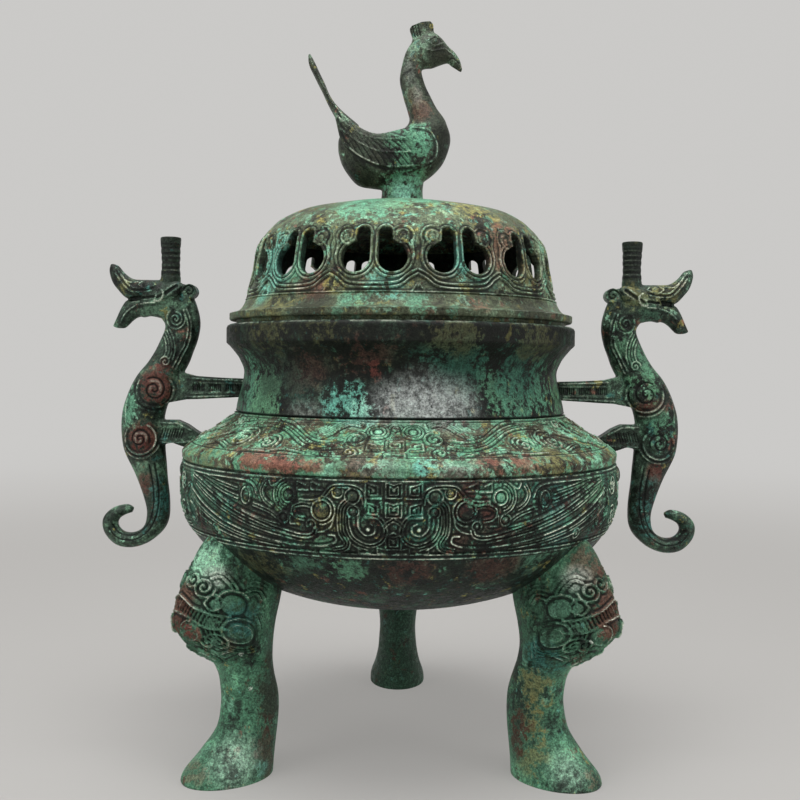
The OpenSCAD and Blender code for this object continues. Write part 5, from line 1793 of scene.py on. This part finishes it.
# Painted highlights on the tops of the knees and over the feet.
LEG_PAINTED_SHEENS = spots(on_leg(LEG_LEFT), [
    (98, 10.5, 86, 6, PALE, 0.8, 1.4),
    (90, 12, 10, 10, SHEEN_MINT, 0.6, 0.9)])
LEG_PAINTED_SHEENS += spots(on_leg(LEG_RIGHT), [
    (97, -10, 87, 6, PALE, 0.7, 1.2),
    (96, -11, 10, 9, SHEEN_MINT, 0.5, 0.9)])
HANDLE_PATCHES = spots(on_handle, [
    (-1, 8, 72, 12, SOOT_AND_SHADE, 0.9, 0.7),
    (1, 8, 72, 12, SOOT_AND_SHADE, 0.9, 0.7),
    (-1, *SHOULDER_BOSS, 9, RUST, 0.9),
    (-1, *HIP_BOSS, 9, RUST, 0.9),
    (-1, 18, -36, 7, RUST, 0.8),
    (-1, 10, -41, 8, LAGOON, 0.8, 0.7),
    (-1, 27, 2, 8, MALACHITE, 0.7, 0.6),
    (-1, 29, 56, 8, STRAW, 0.5),
    (-1, 9, 20, 4, RUST, 0.8),
    (1, 15, 4, 8, RUST, 0.85, 1.4),
    (1, 13, 13, 9, LEAF, 0.8),
    (1, 21, -7, 9, MOSS, 0.85),
    (1, 29, 8, 7, RUST, 0.8, 0.7),
    (1, 20, -27, 6, RUST, 0.8),
    (1, 8, 54, 8, KHAKI, 0.6),
    (1, 24, 56, 9, KHAKI, 0.8),
    (1, 30, 60, 5, CUPRITE, 0.8),
    (1, 16, 44, 8, FOREST, 0.7),
    (1, 4, 34, 9, LEAF, 0.7, 0.8),
    (1, 12, 24, 8, MOSS, 0.7),
    (1, 18, -44, 10, LAGOON, 0.8, 0.7),
    (1, 32, -56, 9, SPRUCE, 0.7)])
BIRD_PATCHES = spots(on_bird, [
    (5, -13, 26, 11, MALACHITE, 0.85),
    (1, -14, 17, 10, MOSS, 0.85),
    (-4, -13, 28, 10, MOSS, 0.7),
    (8, -8, 41, 6, CHESTNUT, 0.75),
    (5, -6, 49, 4, CHESTNUT, 0.6),
    (-15, -10, 26, 10, UMBER, 0.8, 0.8),
    (-8, -12, 17, 6, UMBER, 0.7, 1.2),
    (0, -9, 5, 11, MALACHITE, 0.8),
    (1, -9.5, 4, 6, AQUA, 0.6),
    # painted shade on the body under the wing
    (-22, -8, 10, 10, SOOT_AND_SHADE, 0.9),
    (20, -7, 25, 9, SOOT_AND_SHADE, 0.85, 0.7),
    (16, -4, 68, 6, UMBER, 0.8)])
# Painted sheens down the bird's neck.
BIRD_PAINTED_SHEENS = spots(on_bird, [
    (2.4, -5.2, 61, 3.4, SHEEN_GREY, 0.6, 0.45),
    (6.5, -6.4, 50, 2.6, SHEEN_GREY, 0.4, 0.5)])


scene = bpy.context.scene
scene.view_settings.view_transform = "Standard"

# Two dark bands by height, over the upper neck and rim and over the lower bowl, are dark patina and painted
# shade where these face away from the top light.
bowl_bronze = patina(
    "bowl_bronze", (BLACK, rgb(36, 46, 38), rgb(74, 104, 84)),
    ((MALACHITE, 11, 0.2), (LAGOON, 3, 0.32), (TURQUOISE, 4, 0.2), (STRAW, 6, 0.26), (CUPRITE, 9, 0.26)),
    BOWL_PATCHES, ((166, 194, rgb(14, 17, 10), 0.75), (60, 98, rgb(24, 30, 25), 0.3)), BOWL_PAINTED_SHEENS,
    flow=2.0)
shoulder_bronze = patina(
    "shoulder_bronze", (rgb(50, 46, 36), rgb(92, 90, 70), rgb(122, 132, 102)),
    ((rgb(56, 48, 38), 14, 0.4), (rgb(104, 166, 130), 12, 0.56), (rgb(136, 192, 160), 7, 0.46),
     (TURQUOISE, 4, 0.26), (STRAW, 7, 0.34), (CUPRITE, 7, 0.28)),
    BOWL_PATCHES, (), BOWL_PAINTED_SHEENS, rub_and_highlight=0.7)
belly_bronze = patina(
    "belly_bronze", (rgb(28, 31, 27), rgb(54, 64, 52), rgb(84, 112, 90)),
    ((rgb(74, 48, 42), 18, 0.4), (rgb(50, 98, 82), 16, 0.46), (MALACHITE, 9, 0.4), (TURQUOISE, 4, 0.28),
     (STRAW, 7, 0.3), (CUPRITE, 6, 0.26)), BELLY_PATCHES, rub_and_highlight=1.0)
leg_bronze = patina(
    "leg_bronze", (rgb(44, 60, 50), rgb(80, 128, 100), rgb(112, 170, 134)),
    ((rgb(112, 164, 136), 12, 0.34), (rgb(72, 58, 46), 9, 0.3), (TURQUOISE, 5, 0.24), (STRAW, 7, 0.26),
     (CUPRITE, 8, 0.26)),
    LEG_PATCHES, ((52, 92, rgb(38, 46, 38), 0.35),), LEG_PAINTED_SHEENS, rub_and_highlight=0.6, flow=1.5)
handle_bronze = patina(
    "handle_bronze", (rgb(28, 32, 27), rgb(56, 72, 60), rgb(96, 128, 104)),
    ((MINT, 8, 0.24), (LAGOON, 9, 0.34), (STRAW, 7, 0.26), (CUPRITE, 8, 0.28)), HANDLE_PATCHES, rub_and_highlight=0.5,
    shine=0.36)
lid_bronze = patina(
    "lid_bronze", (rgb(48, 48, 38), rgb(98, 110, 84), rgb(136, 164, 132)),
    ((rgb(62, 58, 46), 12, 0.36), (MALACHITE, 9, 0.38), (MINT, 7, 0.36), (TURQUOISE, 4, 0.3),
     (STRAW, 7, 0.36), (CUPRITE, 7, 0.32)), LID_PATCHES, ((189, 201, rgb(66, 70, 54), 0.5),), rub_and_highlight=0.5)
bird_bronze = patina(
    "bird_bronze", (rgb(30, 33, 27), rgb(66, 74, 60), rgb(110, 138, 114)),
    ((MINT, 7, 0.24), (LAGOON, 7, 0.26), (STRAW, 6, 0.26), (CUPRITE, 7, 0.26)), BIRD_PATCHES, (), BIRD_PAINTED_SHEENS,
    rub_and_highlight=0.6, shine=0.36)
rivet_bronze = patina("rivet_bronze", (BLACK, LIVER, STRAW), ((MALACHITE, 5, 0.2),))

bowl_core(bowl_bronze)
belly = belly_canvas()
belly_band("belly_front", belly, *FRONT, FRONT_PITCH, belly_bronze)
belly_band("belly_back", belly, *BACK, BACK_PITCH, belly_bronze)
shoulder = shoulder_canvas()
shoulder_band("shoulder_front", shoulder, *FRONT, FRONT_PITCH, shoulder_bronze)
shoulder_band("shoulder_back", shoulder, *BACK, BACK_PITCH, shoulder_bronze)
lid_foot(lid_bronze)
lace = lace_canvas()
lace_band("lid_lace_front", lace, *FRONT, LACE_PITCH, lid_bronze)
lace_band("lid_lace_back", lace, *BACK, BACK_PITCH, lid_bronze)
lid_crown(lid_bronze)
mask = leg_canvas()
leg("leg_front_left", mask, LEG_LEFT, FOOT_SHIFT, leg_bronze)
leg("leg_front_right", mask, LEG_RIGHT, -FOOT_SHIFT, leg_bronze)
leg("leg_back", mask, LEG_BACK, 0.0, leg_bronze)
dragons(dragon_canvas(), handle_bronze)
bird(bird_canvas(), bird_bronze)
rivets(rivet_bronze)

sweep()
studio()
camera()
